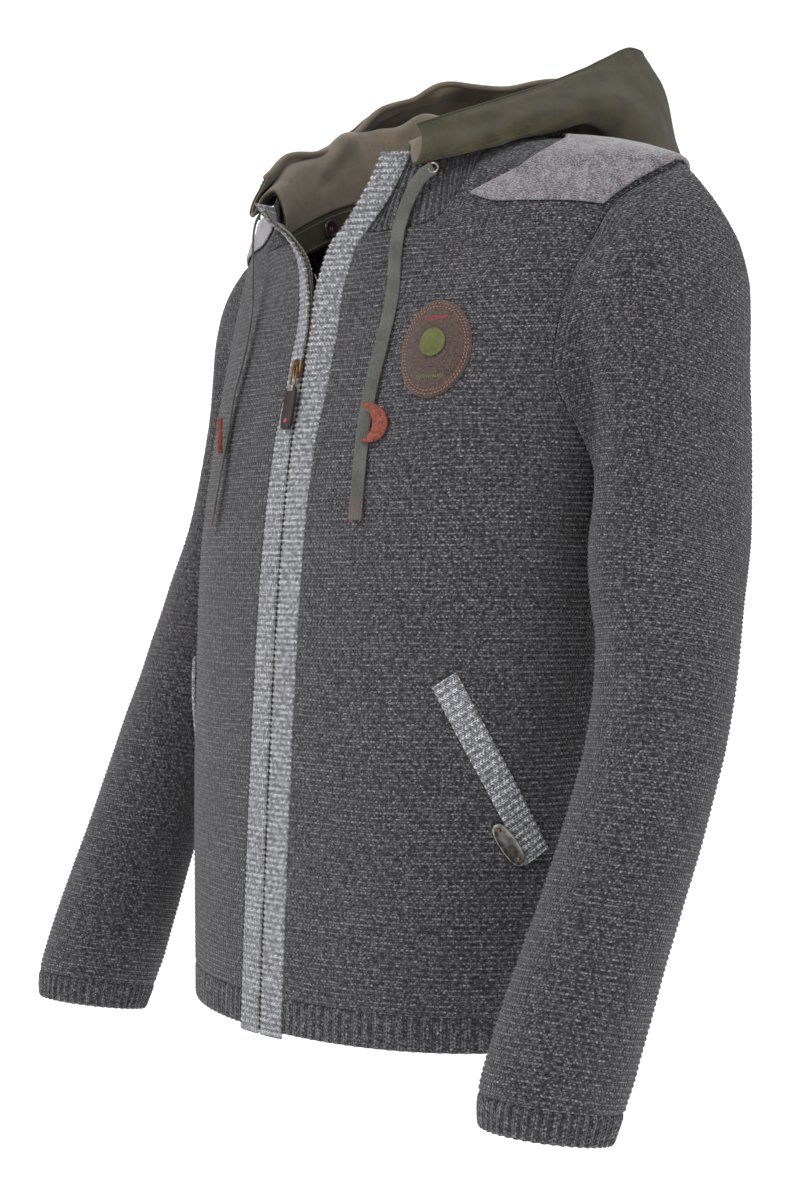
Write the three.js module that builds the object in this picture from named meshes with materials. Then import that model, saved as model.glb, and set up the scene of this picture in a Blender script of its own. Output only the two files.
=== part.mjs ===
// A hooded zip cardigan in heavy knit, filled out as if it were worn, with nobody in it.
// Millimetres, +Z up, front towards -Y, the wearer's left towards +X.
// The origin is in the middle of the neck, level with the high points of the shoulders.
import * as THREE from 'three';

// Driving dimensions
const KNIT = 2.5; // wall of the body, the sleeves and the collar
const BAND = 3.4; // folded knit of the front bands
const FELT = 1.8; // shoulder patches
const CLOTH = 1.0; // hood cloth, hood lining, facing and zip tape
const SEAM = 0.3; // gap between two pieces
const HEM_TOP = -636;
const HEM_BOTTOM = -661;
const BAND_BOTTOM = -665;
const UNDERARM = -235;
const CHEST = -150; // above this level the rows of the panels turn towards the shoulders
const NECK_FRONT = -78;
const SHOULDER_TIP = -40;
const BAND_WIDTH = 22.5;
const ZIP_GAP = 2; // from the middle line of the zip to the edge of a band
const HEM_RIBS = 110;
const CUFF_RIBS = 46;
const COLLAR_RIBS = 106;
const WELT_RIBS = 27;
const RIB_RISE = 1.2;
const LEFT = 1;
const RIGHT = -1;

const COLOURS = {
  charcoal: { color: 0x3b3a3c, roughness: 0.95, metalness: 0 },
  paleKnit: { color: 0x8d9199, roughness: 0.95, metalness: 0 },
  felt: { color: 0x7e7c82, roughness: 0.95, metalness: 0 },
  olive: { color: 0x4b4832, roughness: 0.85, metalness: 0 },
  taupe: { color: 0x8a7d69, roughness: 0.7, metalness: 0 },
  greyGreen: { color: 0x6f766d, roughness: 0.8, metalness: 0 },
  leather: { color: 0xb4573a, roughness: 0.6, metalness: 0 },
  brass: { color: 0x6d5b3f, roughness: 0.4, metalness: 0.9 },
  rubber: { color: 0x2c2220, roughness: 0.5, metalness: 0 },
  badge: { color: 0x5b4235, roughness: 0.8, metalness: 0 },
  moss: { color: 0x66683a, roughness: 0.8, metalness: 0 },
  steel: { color: 0x8b8a86, roughness: 0.4, metalness: 0.9 },
  horn: { color: 0x2a2022, roughness: 0.4, metalness: 0 },
};

// The body form: level sections of the worn shape. middle is where a section's widest line lies,
// half is its half width, front and back are its depths from there, power is how square it is.
const BODY = [
  { z: -662, middle: -43, half: 185, front: 131, back: 100, power: 2.05 },
  { z: -600, middle: -42, half: 188, front: 129, back: 102, power: 2.1 },
  { z: -480, middle: -38, half: 191, front: 127, back: 104, power: 2.25 },
  { z: -363, middle: -34, half: 193, front: 123, back: 110, power: 2.35 },
  { z: -300, middle: -28, half: 193, front: 122, back: 118, power: 2.45 },
  { z: -235, middle: -20, half: 194, front: 118, back: 125, power: 2.45 },
  { z: -170, middle: -10, half: 202, front: 112, back: 122, power: 2.3 },
  { z: -110, middle: 2, half: 214, front: 103, back: 105, power: 2.15 },
  { z: -60, middle: 14, half: 225, front: 92, back: 78, power: 2.05 },
  { z: -40, middle: 22, half: 228, front: 90, back: 64, power: 2.0 },
  { z: -29, middle: 20, half: 205, front: 82, back: 60, power: 2.0 },
  { z: -20, middle: 18, half: 176, front: 76, back: 58, power: 2.0 },
  { z: -11, middle: 14, half: 132, front: 69, back: 60, power: 2.0 },
  { z: 0, middle: 8, half: 84, front: 59, back: 60, power: 2.0 },
];

// The line of the zip teeth on each flap. lean is how far the band turns back from square-on.
// Below the slider both flaps meet, and above it the right flap folds further out than the left.
const FRONT_EDGE = {
  [LEFT]: [
    { z: -667, x: 0, y: -174, lean: 4 },
    { z: -480, x: 0, y: -165, lean: 4 },
    { z: -363, x: -1, y: -157, lean: 4 },
    { z: -300, x: -3, y: -150, lean: 5 },
    { z: -235, x: -6, y: -139.5, lean: 9 },
    { z: -177, x: -8, y: -127, lean: 22 },
    { z: -144, x: -4, y: -124, lean: 27 },
    { z: -127, x: -1.5, y: -124, lean: 28 },
    { z: -108, x: 0.7, y: -120, lean: 30 },
    { z: -86, x: 5, y: -114, lean: 31 },
    { z: -72, x: 15, y: -109, lean: 32 },
    { z: -54, x: 29, y: -105, lean: 35 },
    { z: -38, x: 38, y: -101, lean: 39 },
    { z: -20, x: 46, y: -98, lean: 43 },
  ],
  [RIGHT]: [
    { z: -667, x: 0, y: -174, lean: 4 },
    { z: -480, x: 0, y: -165, lean: 4 },
    { z: -363, x: -1, y: -157, lean: 4 },
    { z: -300, x: -3, y: -150, lean: 5 },
    { z: -235, x: -6, y: -139.5, lean: 8 },
    { z: -177, x: -8, y: -127, lean: 15 },
    { z: -144, x: -4, y: -124.5, lean: 20 },
    { z: -127, x: -2, y: -125, lean: 22 },
    { z: -108, x: -3.5, y: -126, lean: 26 },
    { z: -95, x: -9, y: -126, lean: 31 },
    { z: -84, x: -19, y: -126, lean: 38 },
    { z: -72, x: -35, y: -126, lean: 48 },
    { z: -62, x: -53, y: -126, lean: 58 },
    { z: -51, x: -65, y: -126, lean: 70 },
    { z: -46, x: -70, y: -126, lean: 76 },
  ],
};
const FLAP_REACH = 110; // how far into a panel the turned edge still pulls it
const SIDE_FADE = 25; // degrees before the side over which that pull ends, so that front and back meet
const EDGE_TURN = 30; // over this width a panel turns from its band's lean to the body form

// Where the band closes the collar's end, on each flap
const COLLAR_END = {
  [LEFT]: { middle: -50, top: -21 },
  [RIGHT]: { middle: -61, top: -46 },
};

// The armhole seam: angle round the body form from centre front, on the front and on the back.
const ARMHOLE = [
  { z: -235, front: 90, back: 90 },
  { z: -225, front: 84.5, back: 95.5 },
  { z: -205, front: 78, back: 101 },
  { z: -177, front: 75.3, back: 103.5 },
  { z: -150, front: 75.3, back: 104 },
  { z: -119, front: 76.5, back: 103 },
  { z: -97, front: 78.5, back: 101 },
  { z: -70, front: 81, back: 98.5 },
  { z: -55, front: 85, back: 95 },
  { z: -40, front: 90, back: 90 },
];

// The neck seam, by share of a panel's width from centre front or centre back
const NECK_SEAM = [
  { share: 0, angle: 20, z: -78 },
  { share: 0.2, angle: 29, z: -78.5 },
  { share: 0.36, angle: 38, z: -78 },
  { share: 0.5, angle: 46, z: -75 },
  { share: 0.62, angle: 50.5, z: -63 },
  { share: 0.72, angle: 52.5, z: -47 },
  { share: 0.8, angle: 56, z: -32 },
  { share: 0.88, angle: 63, z: -17 },
  { share: 0.94, angle: 72, z: -9 },
  { share: 1, angle: 90, z: -4 },
];
const NECK_SEAM_BACK = [
  { angle: 90, z: -4 },
  { angle: 100, z: -4.5 },
  { angle: 112, z: -8 },
  { angle: 130, z: -13 },
  { angle: 150, z: -17 },
  { angle: 180, z: -20 },
];

// Rows of the panels: levels up to the chest, then shares of the way up to neck and shoulder.
const LOW_ROWS = [-580, -520, -460, -400, -345, -290, UNDERARM, -225, -205, -177];
const TIP_SHARE = (SHOULDER_TIP - CHEST) / (NECK_SEAM_BACK[0].z - CHEST);
const HIGH_ROWS = [0.14, 0.28, 0.42, 0.56, 0.66, TIP_SHARE, 0.85, 0.93, 1];
const FRONT_COLUMNS = 9;
const BACK_COLUMNS = 14;

// Sleeve: level sections of the hanging arm. side, front and rear are half sizes along X and Y.
const SLEEVE = [
  { z: -40, x: 192, y: 26, side: 42, front: 24, rear: 30 },
  { z: -50, x: 196, y: 24, side: 47, front: 41, rear: 50 },
  { z: -65, x: 203, y: 23.5, side: 49, front: 52, rear: 62 },
  { z: -80, x: 208, y: 22.5, side: 50, front: 60, rear: 70 },
  { z: -97, x: 213, y: 22.5, side: 49, front: 66, rear: 74 },
  { z: -120, x: 217, y: 22.5, side: 48, front: 69, rear: 74 },
  { z: -140, x: 219, y: 22, side: 47, front: 70, rear: 72 },
  { z: -170, x: 222.5, y: 21, side: 44.5, front: 69, rear: 68.5 },
  { z: -200, x: 228.5, y: 19, side: 40.5, front: 67, rear: 66 },
  { z: -235, x: 235, y: 15, side: 37, front: 66, rear: 66 },
  { z: -270, x: 238, y: 10, side: 38.5, front: 67, rear: 67 },
  { z: -300, x: 240.5, y: 4, side: 41, front: 68, rear: 68 },
  { z: -340, x: 251.6, y: -11, side: 46, front: 60, rear: 58 },
  { z: -380, x: 265, y: -26.5, side: 46, front: 50, rear: 49.5 },
  { z: -420, x: 271.7, y: -40, side: 45, front: 48, rear: 48 },
  { z: -460, x: 275.5, y: -56, side: 45, front: 47, rear: 47 },
  { z: -500, x: 275.5, y: -72, side: 45, front: 47.5, rear: 47.5 },
  { z: -540, x: 274.3, y: -89, side: 45, front: 48, rear: 48 },
  { z: -580, x: 272.5, y: -106.4, side: 45, front: 50, rear: 50 },
  { z: -620, x: 271, y: -123, side: 46, front: 51.3, rear: 51.3 },
  { z: -650, x: 270, y: -134.5, side: 46, front: 51.5, rear: 51.5 },
  { z: -670, x: 269.7, y: -141, side: 44.5, front: 49, rear: 49 },
  { z: -700, x: 269.5, y: -146, side: 39, front: 41, rear: 41 },
];
const SLEEVE_LEVELS = [
  { z: -300, slope: 0.02 },
  { z: -337, slope: 0.08 },
  { z: -370, slope: 0.15 },
  { z: -403, slope: 0.22 },
  { z: -440, slope: 0.3 },
  { z: -485, slope: 0.34 },
  { z: -535, slope: 0.34 },
  { z: -585, slope: 0.3 },
  { z: -632, slope: 0.24 },
  { z: -668, slope: 0.18 },
];
const CUFF_BOTTOM = { z: -688, slope: 0.18 };
const CAP_RINGS = 5;
const ARMHOLE_GAP = { front: 0.7, back: 1.2 }; // between the armhole's edge and the sleeve's
const UNDERARM_GAP = 3.1; // under the arm the sleeve turns down beside the panels
const HALF_CUFF_GAP = 0.25; // half of the gap between a sleeve's level end and its cuff

// Rails of the collar's top and of the hood: lines that run from a front end to the centre back.
// Each is an oval in plan, through a front point, a widest line and a back point, with its heights.
const RAIL_STOPS = [0, 0.125, 0.25, 0.4, 0.55, 0.75, 1];
const COLLAR_TOP = {
  frontX: 63, frontY: -83, half: 108, middle: 4, back: 90, heights: [-21, -8, 6, 20, 28, 34, 36],
};
const HOOD_RAILS = [
  { frontX: 56, frontY: -76.5, half: 89, middle: 0, back: 70, heights: [-50, -44, -36, -27, -18, -10, -6] },
  { frontX: 56.5, frontY: -77.5, half: 95, middle: 2, back: 76, heights: [-32, -24, -10, 6, 14, 20, 24] },
  { frontX: 62, frontY: -83, half: 107, middle: 4, back: 90, heights: [-15, -3, 11, 27, 36, 43, 45] },
  { frontX: 70, frontY: -88, half: 122, middle: 8, back: 112, heights: [-19, -10, 2, 16, 16, 16, 12] },
  { frontX: 74, frontY: -91, half: 131, middle: 12, back: 150, heights: [-28, -20, -6, 5, -8, -40, -64] },
  { frontX: 78, frontY: -92, half: 142, middle: 18, back: 196, heights: [-33, -26, -12, 1, -24, -62, -84] },
  { frontX: 82, frontY: -91, half: 150, middle: 22, back: 224, heights: [-30, -23, -9, 8, -4, -28, -42] },
  { frontX: 82, frontY: -88, half: 144, middle: 28, back: 222, heights: [-21, -15, 3, 26, 22, 14, 8] },
  { frontX: 78, frontY: -85, half: 126, middle: 42, back: 205, heights: [-12, 1, 20, 46, 58, 58, 52] },
  { frontX: 72, frontY: -84, half: 112, middle: 52, back: 186, heights: [-4, 12, 31, 58, 77, 83, 81] },
];
const HOOD_STOPS = 22;
const HOOD_ROWS = [0, 1, 1.6, 2, 2.4, 3, 4, 5, 6, 7, 8, 9]; // places between the rails
// The right front end of the collar and the hood is pulled down and out with the open flap.
const RIGHT_PULL = { x: 12, y: -20, z: -19, share: 0.36 };

// Pockets, badge and tag, as angles round the body form and heights
const WELT_TOP = { angle: 59, z: -402 };
const WELT_FOOT = { angle: 79.5, z: -524 };
const WELT_WIDTH = 20;
const WELT_WALL = 3;
const WELT_RUN = 0.62; // its run across, as a share of its length
const BADGE = { angle: 50.4, z: -171, width: 56, height: 70, wall: 1.4 };
const TAG = { angle: 73.2, z: -515, width: 12, height: 34, wall: 1.2, tilt: -35 };

// Zip
const SLIDER = { z: -178, width: 8, height: 13, depth: 4 };
const ZIP_TILT = 11; // degrees by which the slider and its pull follow the slope of the bands
const PULL = {
  barHeight: 2, clearance: 0.5, bail: 18, bailWidth: 7.2, wire: 1.6,
  tabWidth: 12, tabHeight: 31, tabWall: 3.2,
};

// Drawstrings: the middle line of each flat tape, from its eyelet to its free end
const TAPE = { width: 9.5, wall: 1.6 };
const STRING_ROUTE = {
  [LEFT]: [
    [91, -85, -37],
    [84, -89, -42],
    [76, -92, -53],
    [69, -97, -74],
    [70, -103, -98],
    [74, -109, -128],
    [75, -119, -161],
    [74, -128, -192],
    [74, -135, -219],
    [76, -141, -248],
    [80, -149, -291],
  ],
  [RIGHT]: [
    [-92, -104, -50],
    [-92, -108, -57],
    [-90, -112, -72],
    [-90, -112, -98],
    [-92, -112, -128],
    [-95, -117, -161],
    [-99, -124, -192],
    [-99, -129, -219],
    [-96, -138, -248],
    [-98, -146, -291],
  ],
};
// Toggle: a disc with a round bite out of it. bite is the bite's radius and biteAt how far out its
// middle lies, as shares of the radius, and horn and biteHorn are where the two arcs end in degrees.
const TOGGLE = {
  z: -222, radius: 14, wall: 4, bite: 0.95, biteAt: 0.75, horn: 62, biteHorn: 114,
  gap: 0.7, aside: 6, // from the tape's middle surface, and from its middle line
};

// Numbers and curves
const radians = (degrees) => (degrees * Math.PI) / 180;
const lerp = (a, b, share) => a + (b - a) * share;
const clamp = (value) => Math.min(Math.max(value, 0), 1);
const smooth = (value) => clamp(value) ** 2 * (3 - 2 * clamp(value));

// A curve through the rows of a table that never swings past them (Fritsch and Carlson's slopes)
function curve(rows, column, along = 'z') {
  const points = rows.map((row) => [row[along], row[column]]).sort((a, b) => a[0] - b[0]);
  const last = points.length - 1;
  const chords = points.slice(1).map((point, i) => (point[1] - points[i][1]) / (point[0] - points[i][0]));
  const slopes = points.map((_, i) => {
    if (i === 0 || i === last) return chords[Math.min(i, last - 1)];
    const [before, after] = [chords[i - 1], chords[i]];
    return before * after <= 0 ? 0 : (2 * before * after) / (before + after);
  });
  return (at) => {
    if (at <= points[0][0]) return points[0][1];
    if (at >= points[last][0]) return points[last][1];
    const i = points.findIndex((point) => point[0] > at) - 1;
    const span = points[i + 1][0] - points[i][0];
    const s = (at - points[i][0]) / span;
    const rise = points[i + 1][1] - points[i][1];
    return points[i][1] + rise * s * s * (3 - 2 * s)
      + span * s * (1 - s) * (slopes[i] * (1 - s) - slopes[i + 1] * s);
  };
}

function curves(rows, columns, along = 'z') {
  return Object.fromEntries(columns.map((column) => [column, curve(rows, column, along)]));
}

const body = curves(BODY, ['middle', 'half', 'front', 'back', 'power']);
const armhole = curves(ARMHOLE, ['front', 'back']);
const neckSeam = curves(NECK_SEAM, ['angle', 'z'], 'share');
const neckSeamBack = curve(NECK_SEAM_BACK, 'z', 'angle');
const sleeveForm = curves(SLEEVE, ['x', 'y', 'side', 'front', 'rear']);
const flap = {
  [LEFT]: curves(FRONT_EDGE[LEFT], ['x', 'y', 'lean']),
  [RIGHT]: curves(FRONT_EDGE[RIGHT], ['x', 'y', 'lean']),
};

// A point of the body form at an angle from centre front (90 is the wearer's side) and a height
function formPoint(angle, z) {
  const [sin, cos] = [Math.sin(radians(angle)), Math.cos(radians(angle))];
  const depth = cos > 0 ? body.front(z) : body.back(z);
  const power = body.power(z);
  const radius = ((Math.abs(sin) / body.half(z)) ** power + (Math.abs(cos) / depth) ** power) ** (-1 / power);
  return new THREE.Vector3(radius * sin, body.middle(z) - radius * cos, z);
}

// A point of a flap's edge: the teeth line moved back along the band by some millimetres
function flapPoint(side, z, along) {
  const lean = radians(flap[side].lean(z));
  return new THREE.Vector3(
    flap[side].x(z) + side * along * Math.cos(lean),
    flap[side].y(z) + along * Math.sin(lean),
    z,
  );
}

function flapFace(side, z) {
  const lean = radians(flap[side].lean(z));
  return new THREE.Vector3(side * Math.sin(lean), -Math.cos(lean), 0);
}

const bandOuter = ZIP_GAP + BAND_WIDTH;
const collarStart = bandOuter + 0.8; // its ribs need more room beside the band than a plain edge

// The body form with the open flap's pull on the chest; side is the panel's own side
function bodyPoint(side, angle, z) {
  const point = formPoint(side * angle, z);
  if (angle >= 90) return point;
  const edge = flapPoint(side, Math.min(z, NECK_FRONT), bandOuter);
  const reach = clamp(1 - (Math.abs(point.x) - Math.abs(edge.x)) / FLAP_REACH);
  const edgeAngle = edgeAngleAt(side, z);
  const pull = smooth(reach) * smooth((90 - angle) / SIDE_FADE);
  point.y += (edge.y - formPoint(side * edgeAngle, Math.min(z, NECK_FRONT)).y) * pull;
  return point;
}

// The angle at which a panel meets its band
function edgeAngleAt(side, z) {
  const level = Math.min(z, NECK_FRONT);
  const x = Math.abs(flapPoint(side, level, bandOuter + SEAM).x);
  let [low, high] = [0, 60];
  for (let step = 0; step < 30; step += 1) {
    const middle = (low + high) / 2;
    if (formPoint(middle, level).x < x) low = middle;
    else high = middle;
  }
  return low;
}

function bodyNormal(side, angle, z) {
  const turn = bodyPoint(side, angle + 0.2, z).sub(bodyPoint(side, angle - 0.2, z));
  const top = Math.min(z + 0.4, -0.1);
  const rise = bodyPoint(side, angle, top).sub(bodyPoint(side, angle, top - 0.8));
  const normal = turn.cross(rise).multiplyScalar(side).normalize();
  if (angle >= 90 || z > NECK_FRONT + 1) return normal;
  const level = Math.min(z, NECK_FRONT);
  const beyond = Math.abs(bodyPoint(side, angle, z).x - flapPoint(side, level, bandOuter).x);
  return normal.lerp(flapFace(side, level), 1 - smooth(beyond / EDGE_TURN)).normalize();
}

// A point that stands off the body form: out is measured from the middle of the knit wall
function onBody(side, angle, z, out = 0) {
  return bodyPoint(side, angle, z).addScaledVector(bodyNormal(side, angle, z), out);
}

// The same, after moving some millimetres round the body and up
function besideOnBody(side, angle, z, across, up, out) {
  const perDegree = bodyPoint(side, angle + 0.5, z).distanceTo(bodyPoint(side, angle - 0.5, z));
  return onBody(side, angle + across / perDegree, z + up, out);
}

// Solids
const group = new THREE.Group();
group.name = 'hooded_zip_cardigan';

function addMesh(name, geometry, colour) {
  const mesh = new THREE.Mesh(geometry, new THREE.MeshStandardMaterial(COLOURS[colour]));
  mesh.name = name;
  group.add(mesh);
  return mesh;
}

function signedVolume(points, faces) {
  const cross = new THREE.Vector3();
  return faces.reduce((sum, [a, b, c]) => sum + points[a].dot(cross.crossVectors(points[b], points[c])), 0) / 6;
}

function geometryOf(points, faces) {
  const turned = signedVolume(points, faces) < 0 ? faces.map(([a, b, c]) => [a, c, b]) : faces;
  const geometry = new THREE.BufferGeometry();
  geometry.setAttribute('position', new THREE.Float32BufferAttribute(points.flatMap((p) => p.toArray()), 3));
  geometry.setIndex(turned.flat());
  geometry.computeVertexNormals();
  return geometry;
}

// A closed wall between an outer and an inner grid of points, rows of equal length.
// A ring's last column joins its first one.
function wall(outer, inner, ring = false) {
  const [rows, columns] = [outer.length, outer[0].length];
  const points = [...outer.flat(), ...inner.flat()];
  const count = rows * columns;
  const faces = [];
  const quad = (a, b, c, d) => faces.push([a, b, c], [a, c, d]);
  const at = (row, column) => row * columns + (column % columns);
  const spans = ring ? columns : columns - 1;
  for (let row = 0; row < rows - 1; row += 1) {
    for (let column = 0; column < spans; column += 1) {
      const corners = [at(row, column), at(row, column + 1), at(row + 1, column + 1), at(row + 1, column)];
      quad(...corners);
      const [a, b, c, d] = corners.map((corner) => corner + count);
      faces.push([a, c, b], [a, d, c]);
    }
  }
  const edge = (a, b) => quad(b, a, a + count, b + count);
  for (let column = 0; column < spans; column += 1) {
    edge(at(0, column), at(0, column + 1));
    edge(at(rows - 1, column + 1), at(rows - 1, column));
  }
  if (!ring) {
    for (let row = 0; row < rows - 1; row += 1) {
      edge(at(row + 1, 0), at(row, 0));
      edge(at(row, columns - 1), at(row + 1, columns - 1));
    }
  }
  return geometryOf(points, faces);
}

// Normals of a grid of points, from each point's neighbours
function gridNormals(grid, ring = false) {
  return grid.map((row, r) => row.map((_, c) => {
    const columns = row.length;
    const before = ring ? (c + columns - 1) % columns : Math.max(c - 1, 0);
    const after = ring ? (c + 1) % columns : Math.min(c + 1, columns - 1);
    const along = row[after].clone().sub(row[before]);
    const up = grid[Math.min(r + 1, grid.length - 1)][c].clone().sub(grid[Math.max(r - 1, 0)][c]);
    return along.cross(up).normalize();
  }));
}

function shifted(grid, normals, out) {
  return grid.map((row, r) => row.map((point, c) => {
    const amount = typeof out === 'function' ? out(r, c) : out;
    return point.clone().addScaledVector(normals[r][c], amount);
  }));
}

const sideName = (side) => (side === LEFT ? 'left' : 'right');
const range = (count) => Array.from({ length: count + 1 }, (_, i) => i / count);

// Front panels and back
// A place on a panel, as angle, height and the panel's shares across and up
function frontPlace(side, share, row) {
  if (row.share === undefined) {
    const outerAngle = row.z < UNDERARM ? 90 : armhole.front(row.z);
    return { angle: lerp(edgeAngleAt(side, row.z), outerAngle, share), z: row.z };
  }
  const z = lerp(CHEST, neckSeam.z(share), row.share);
  const outerZ = lerp(CHEST, NECK_SEAM_BACK[0].z, row.share);
  const outerAngle = outerZ < SHOULDER_TIP ? armhole.front(outerZ) : 90;
  const inner = edgeAngleAt(side, lerp(CHEST, NECK_FRONT, row.share));
  const level = lerp(inner, outerAngle, share);
  const seamShare = (neckSeam.angle(share) - NECK_SEAM[0].angle) / (90 - NECK_SEAM[0].angle);
  const neck = lerp(inner, outerAngle, seamShare);
  return { angle: lerp(level, neck, row.share ** 2), z };
}

function backPlace(share, row) {
  const across = 2 * Math.abs(share - 0.5);
  if (row.share === undefined) {
    const outerAngle = row.z < UNDERARM ? 90 : armhole.back(row.z);
    return { angle: lerp(180, outerAngle, across), z: row.z };
  }
  const outerZ = lerp(CHEST, NECK_SEAM_BACK[0].z, row.share);
  const outerAngle = outerZ < SHOULDER_TIP ? armhole.back(outerZ) : 90;
  const angle = lerp(180, outerAngle, across);
  return { angle, z: lerp(CHEST, neckSeamBack(lerp(180, 90, across)), row.share) };
}

const panelRows = [
  { z: HEM_TOP + SEAM / 2 },
  ...LOW_ROWS.map((z) => ({ z })),
  { z: CHEST },
  ...HIGH_ROWS.map((share) => ({ share })),
];
const HALF_SEAM_ANGLE = 0.05; // half a seam's gap, as an angle at the sides

function frontGrid(side, out, inset = HALF_SEAM_ANGLE) {
  return panelRows.map((row) => range(FRONT_COLUMNS).map((share) => {
    const place = frontPlace(side, share, row);
    return onBody(side, place.angle - inset * share, place.z, out);
  }));
}

function backGrid(out, inset = HALF_SEAM_ANGLE) {
  return panelRows.map((row) => range(BACK_COLUMNS).map((share) => {
    const place = backPlace(share, row);
    const side = share < 0.5 ? LEFT : RIGHT;
    const pulled = place.angle + inset * 2 * Math.abs(share - 0.5);
    return onBody(side, pulled, place.z, out);
  }));
}

for (const side of [LEFT, RIGHT]) {
  addMesh(`front_${sideName(side)}`, wall(frontGrid(side, KNIT / 2), frontGrid(side, -KNIT / 2)), 'charcoal');
}
addMesh('back', wall(backGrid(KNIT / 2), backGrid(-KNIT / 2)), 'charcoal');

// Hem: a ribbed strip from one band round the back to the other
function hemGrid(out, rise) {
  const columns = HEM_RIBS * 2;
  return [HEM_TOP - SEAM / 2, HEM_BOTTOM].map((z) => Array.from({ length: columns + 1 }, (_, i) => {
    const start = edgeAngleAt(LEFT, z);
    const turn = lerp(start, 360 - start, i / columns);
    const side = turn <= 180 ? LEFT : RIGHT;
    return onBody(side, side === LEFT ? turn : 360 - turn, z, out + (i % 2 ? rise : 0));
  }));
}
addMesh('hem_rib', wall(hemGrid(KNIT / 2 - RIB_RISE / 2, RIB_RISE), hemGrid(-KNIT / 2, 0)), 'charcoal');

// Bands, zip tapes and facings: strips that follow a flap's edge
function flapLevels(side, bottom, top) {
  const panel = panelRows.map((row) => row.z ?? lerp(CHEST, NECK_FRONT, row.share));
  const { middle } = COLLAR_END[side];
  return [bottom, ...panel.filter((z) => z > bottom + 8), ...(top > middle ? [middle, top] : [middle])];
}

function strip(side, levels, from, to, out, columns = 1) {
  return levels.map((z) => range(columns).map((share) => {
    const [near, far] = [from, to].map((edge) => (typeof edge === 'function' ? edge(z) : edge));
    return flapPoint(side, z, lerp(near, far, share)).addScaledVector(flapFace(side, z), out);
  }));
}

function addStrip(name, side, levels, from, to, middle, thickness, colour, columns) {
  const outer = strip(side, levels, from, to, middle + thickness / 2, columns);
  const inner = strip(side, levels, from, to, middle - thickness / 2, columns);
  addMesh(`${name}_${sideName(side)}`, wall(outer, inner), colour);
}

const tapeDepth = -(BAND / 2 + SEAM + CLOTH / 2);
const facingDepth = tapeDepth - CLOTH - 2 * SEAM;
const FACING_BOTTOM = -205;
const facingWidth = (z) => curve([
  { z: FACING_BOTTOM, width: 18 },
  { z: -140, width: 27 },
  { z: NECK_FRONT, width: 32 },
  { z: -50, width: 22 },
], 'width')(z);
for (const side of [LEFT, RIGHT]) {
  const bandLevels = flapLevels(side, BAND_BOTTOM, COLLAR_END[side].top);
  const facingLevels = flapLevels(side, FACING_BOTTOM, COLLAR_END[side].middle);
  const clear = (depth) => (z) => 0.6 - depth * Math.tan(radians(flap[side].lean(z)));
  addStrip('front_band', side, [...bandLevels].reverse(), ZIP_GAP, bandOuter, 0, BAND, 'paleKnit');
  addStrip('zip_tape', side, bandLevels, clear(tapeDepth - CLOTH / 2), 12, tapeDepth, CLOTH, 'greyGreen');
  addStrip('facing', side, facingLevels, clear(facingDepth - 2), facingWidth, facingDepth, CLOTH, 'greyGreen');
}

// Collar: from one band round the neck to the other, on the corners of the panels' top rows
const COLLAR_GAP = 0.5; // above the panels' cut edge
const COLLAR_LEAD = 1.4; // keeps the top over the base, which is longer in front than the top is
function neckLine() {
  const top = panelRows[panelRows.length - 1];
  const places = (side) => range(FRONT_COLUMNS).map((share) => {
    const place = frontPlace(side, share, top);
    return { side, ...place };
  });
  const back = range(BACK_COLUMNS).slice(1, -1).map((share) => {
    return { side: share < 0.5 ? LEFT : RIGHT, ...backPlace(share, top) };
  });
  return [...places(LEFT), ...back, ...places(RIGHT).reverse()];
}

function railPoint(rail, share, side) {
  const start = Math.asin(rail.frontX / rail.half);
  const angle = lerp(start, Math.PI, share);
  const depth = angle < Math.PI / 2 ? (rail.middle - rail.frontY) / Math.cos(start) : rail.back - rail.middle;
  const heights = RAIL_STOPS.map((stop, i) => ({ stop, height: rail.heights[i] }));
  const pull = side === RIGHT ? (1 - clamp(share / RIGHT_PULL.share)) ** 2 : 0;
  return new THREE.Vector3(
    side * (rail.half * Math.sin(angle) + RIGHT_PULL.x * pull),
    rail.middle - depth * Math.cos(angle) + RIGHT_PULL.y * pull,
    curve(heights, 'height', 'stop')(share) + RIGHT_PULL.z * pull,
  );
}

// The direction up a panel, square to its normal
function panelRise(side, angle, z) {
  const top = Math.min(z, -0.9);
  const rise = bodyPoint(side, angle, top + 0.4).sub(bodyPoint(side, angle, top - 0.4));
  const normal = bodyNormal(side, angle, z);
  return rise.addScaledVector(normal, -rise.dot(normal)).normalize();
}

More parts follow.
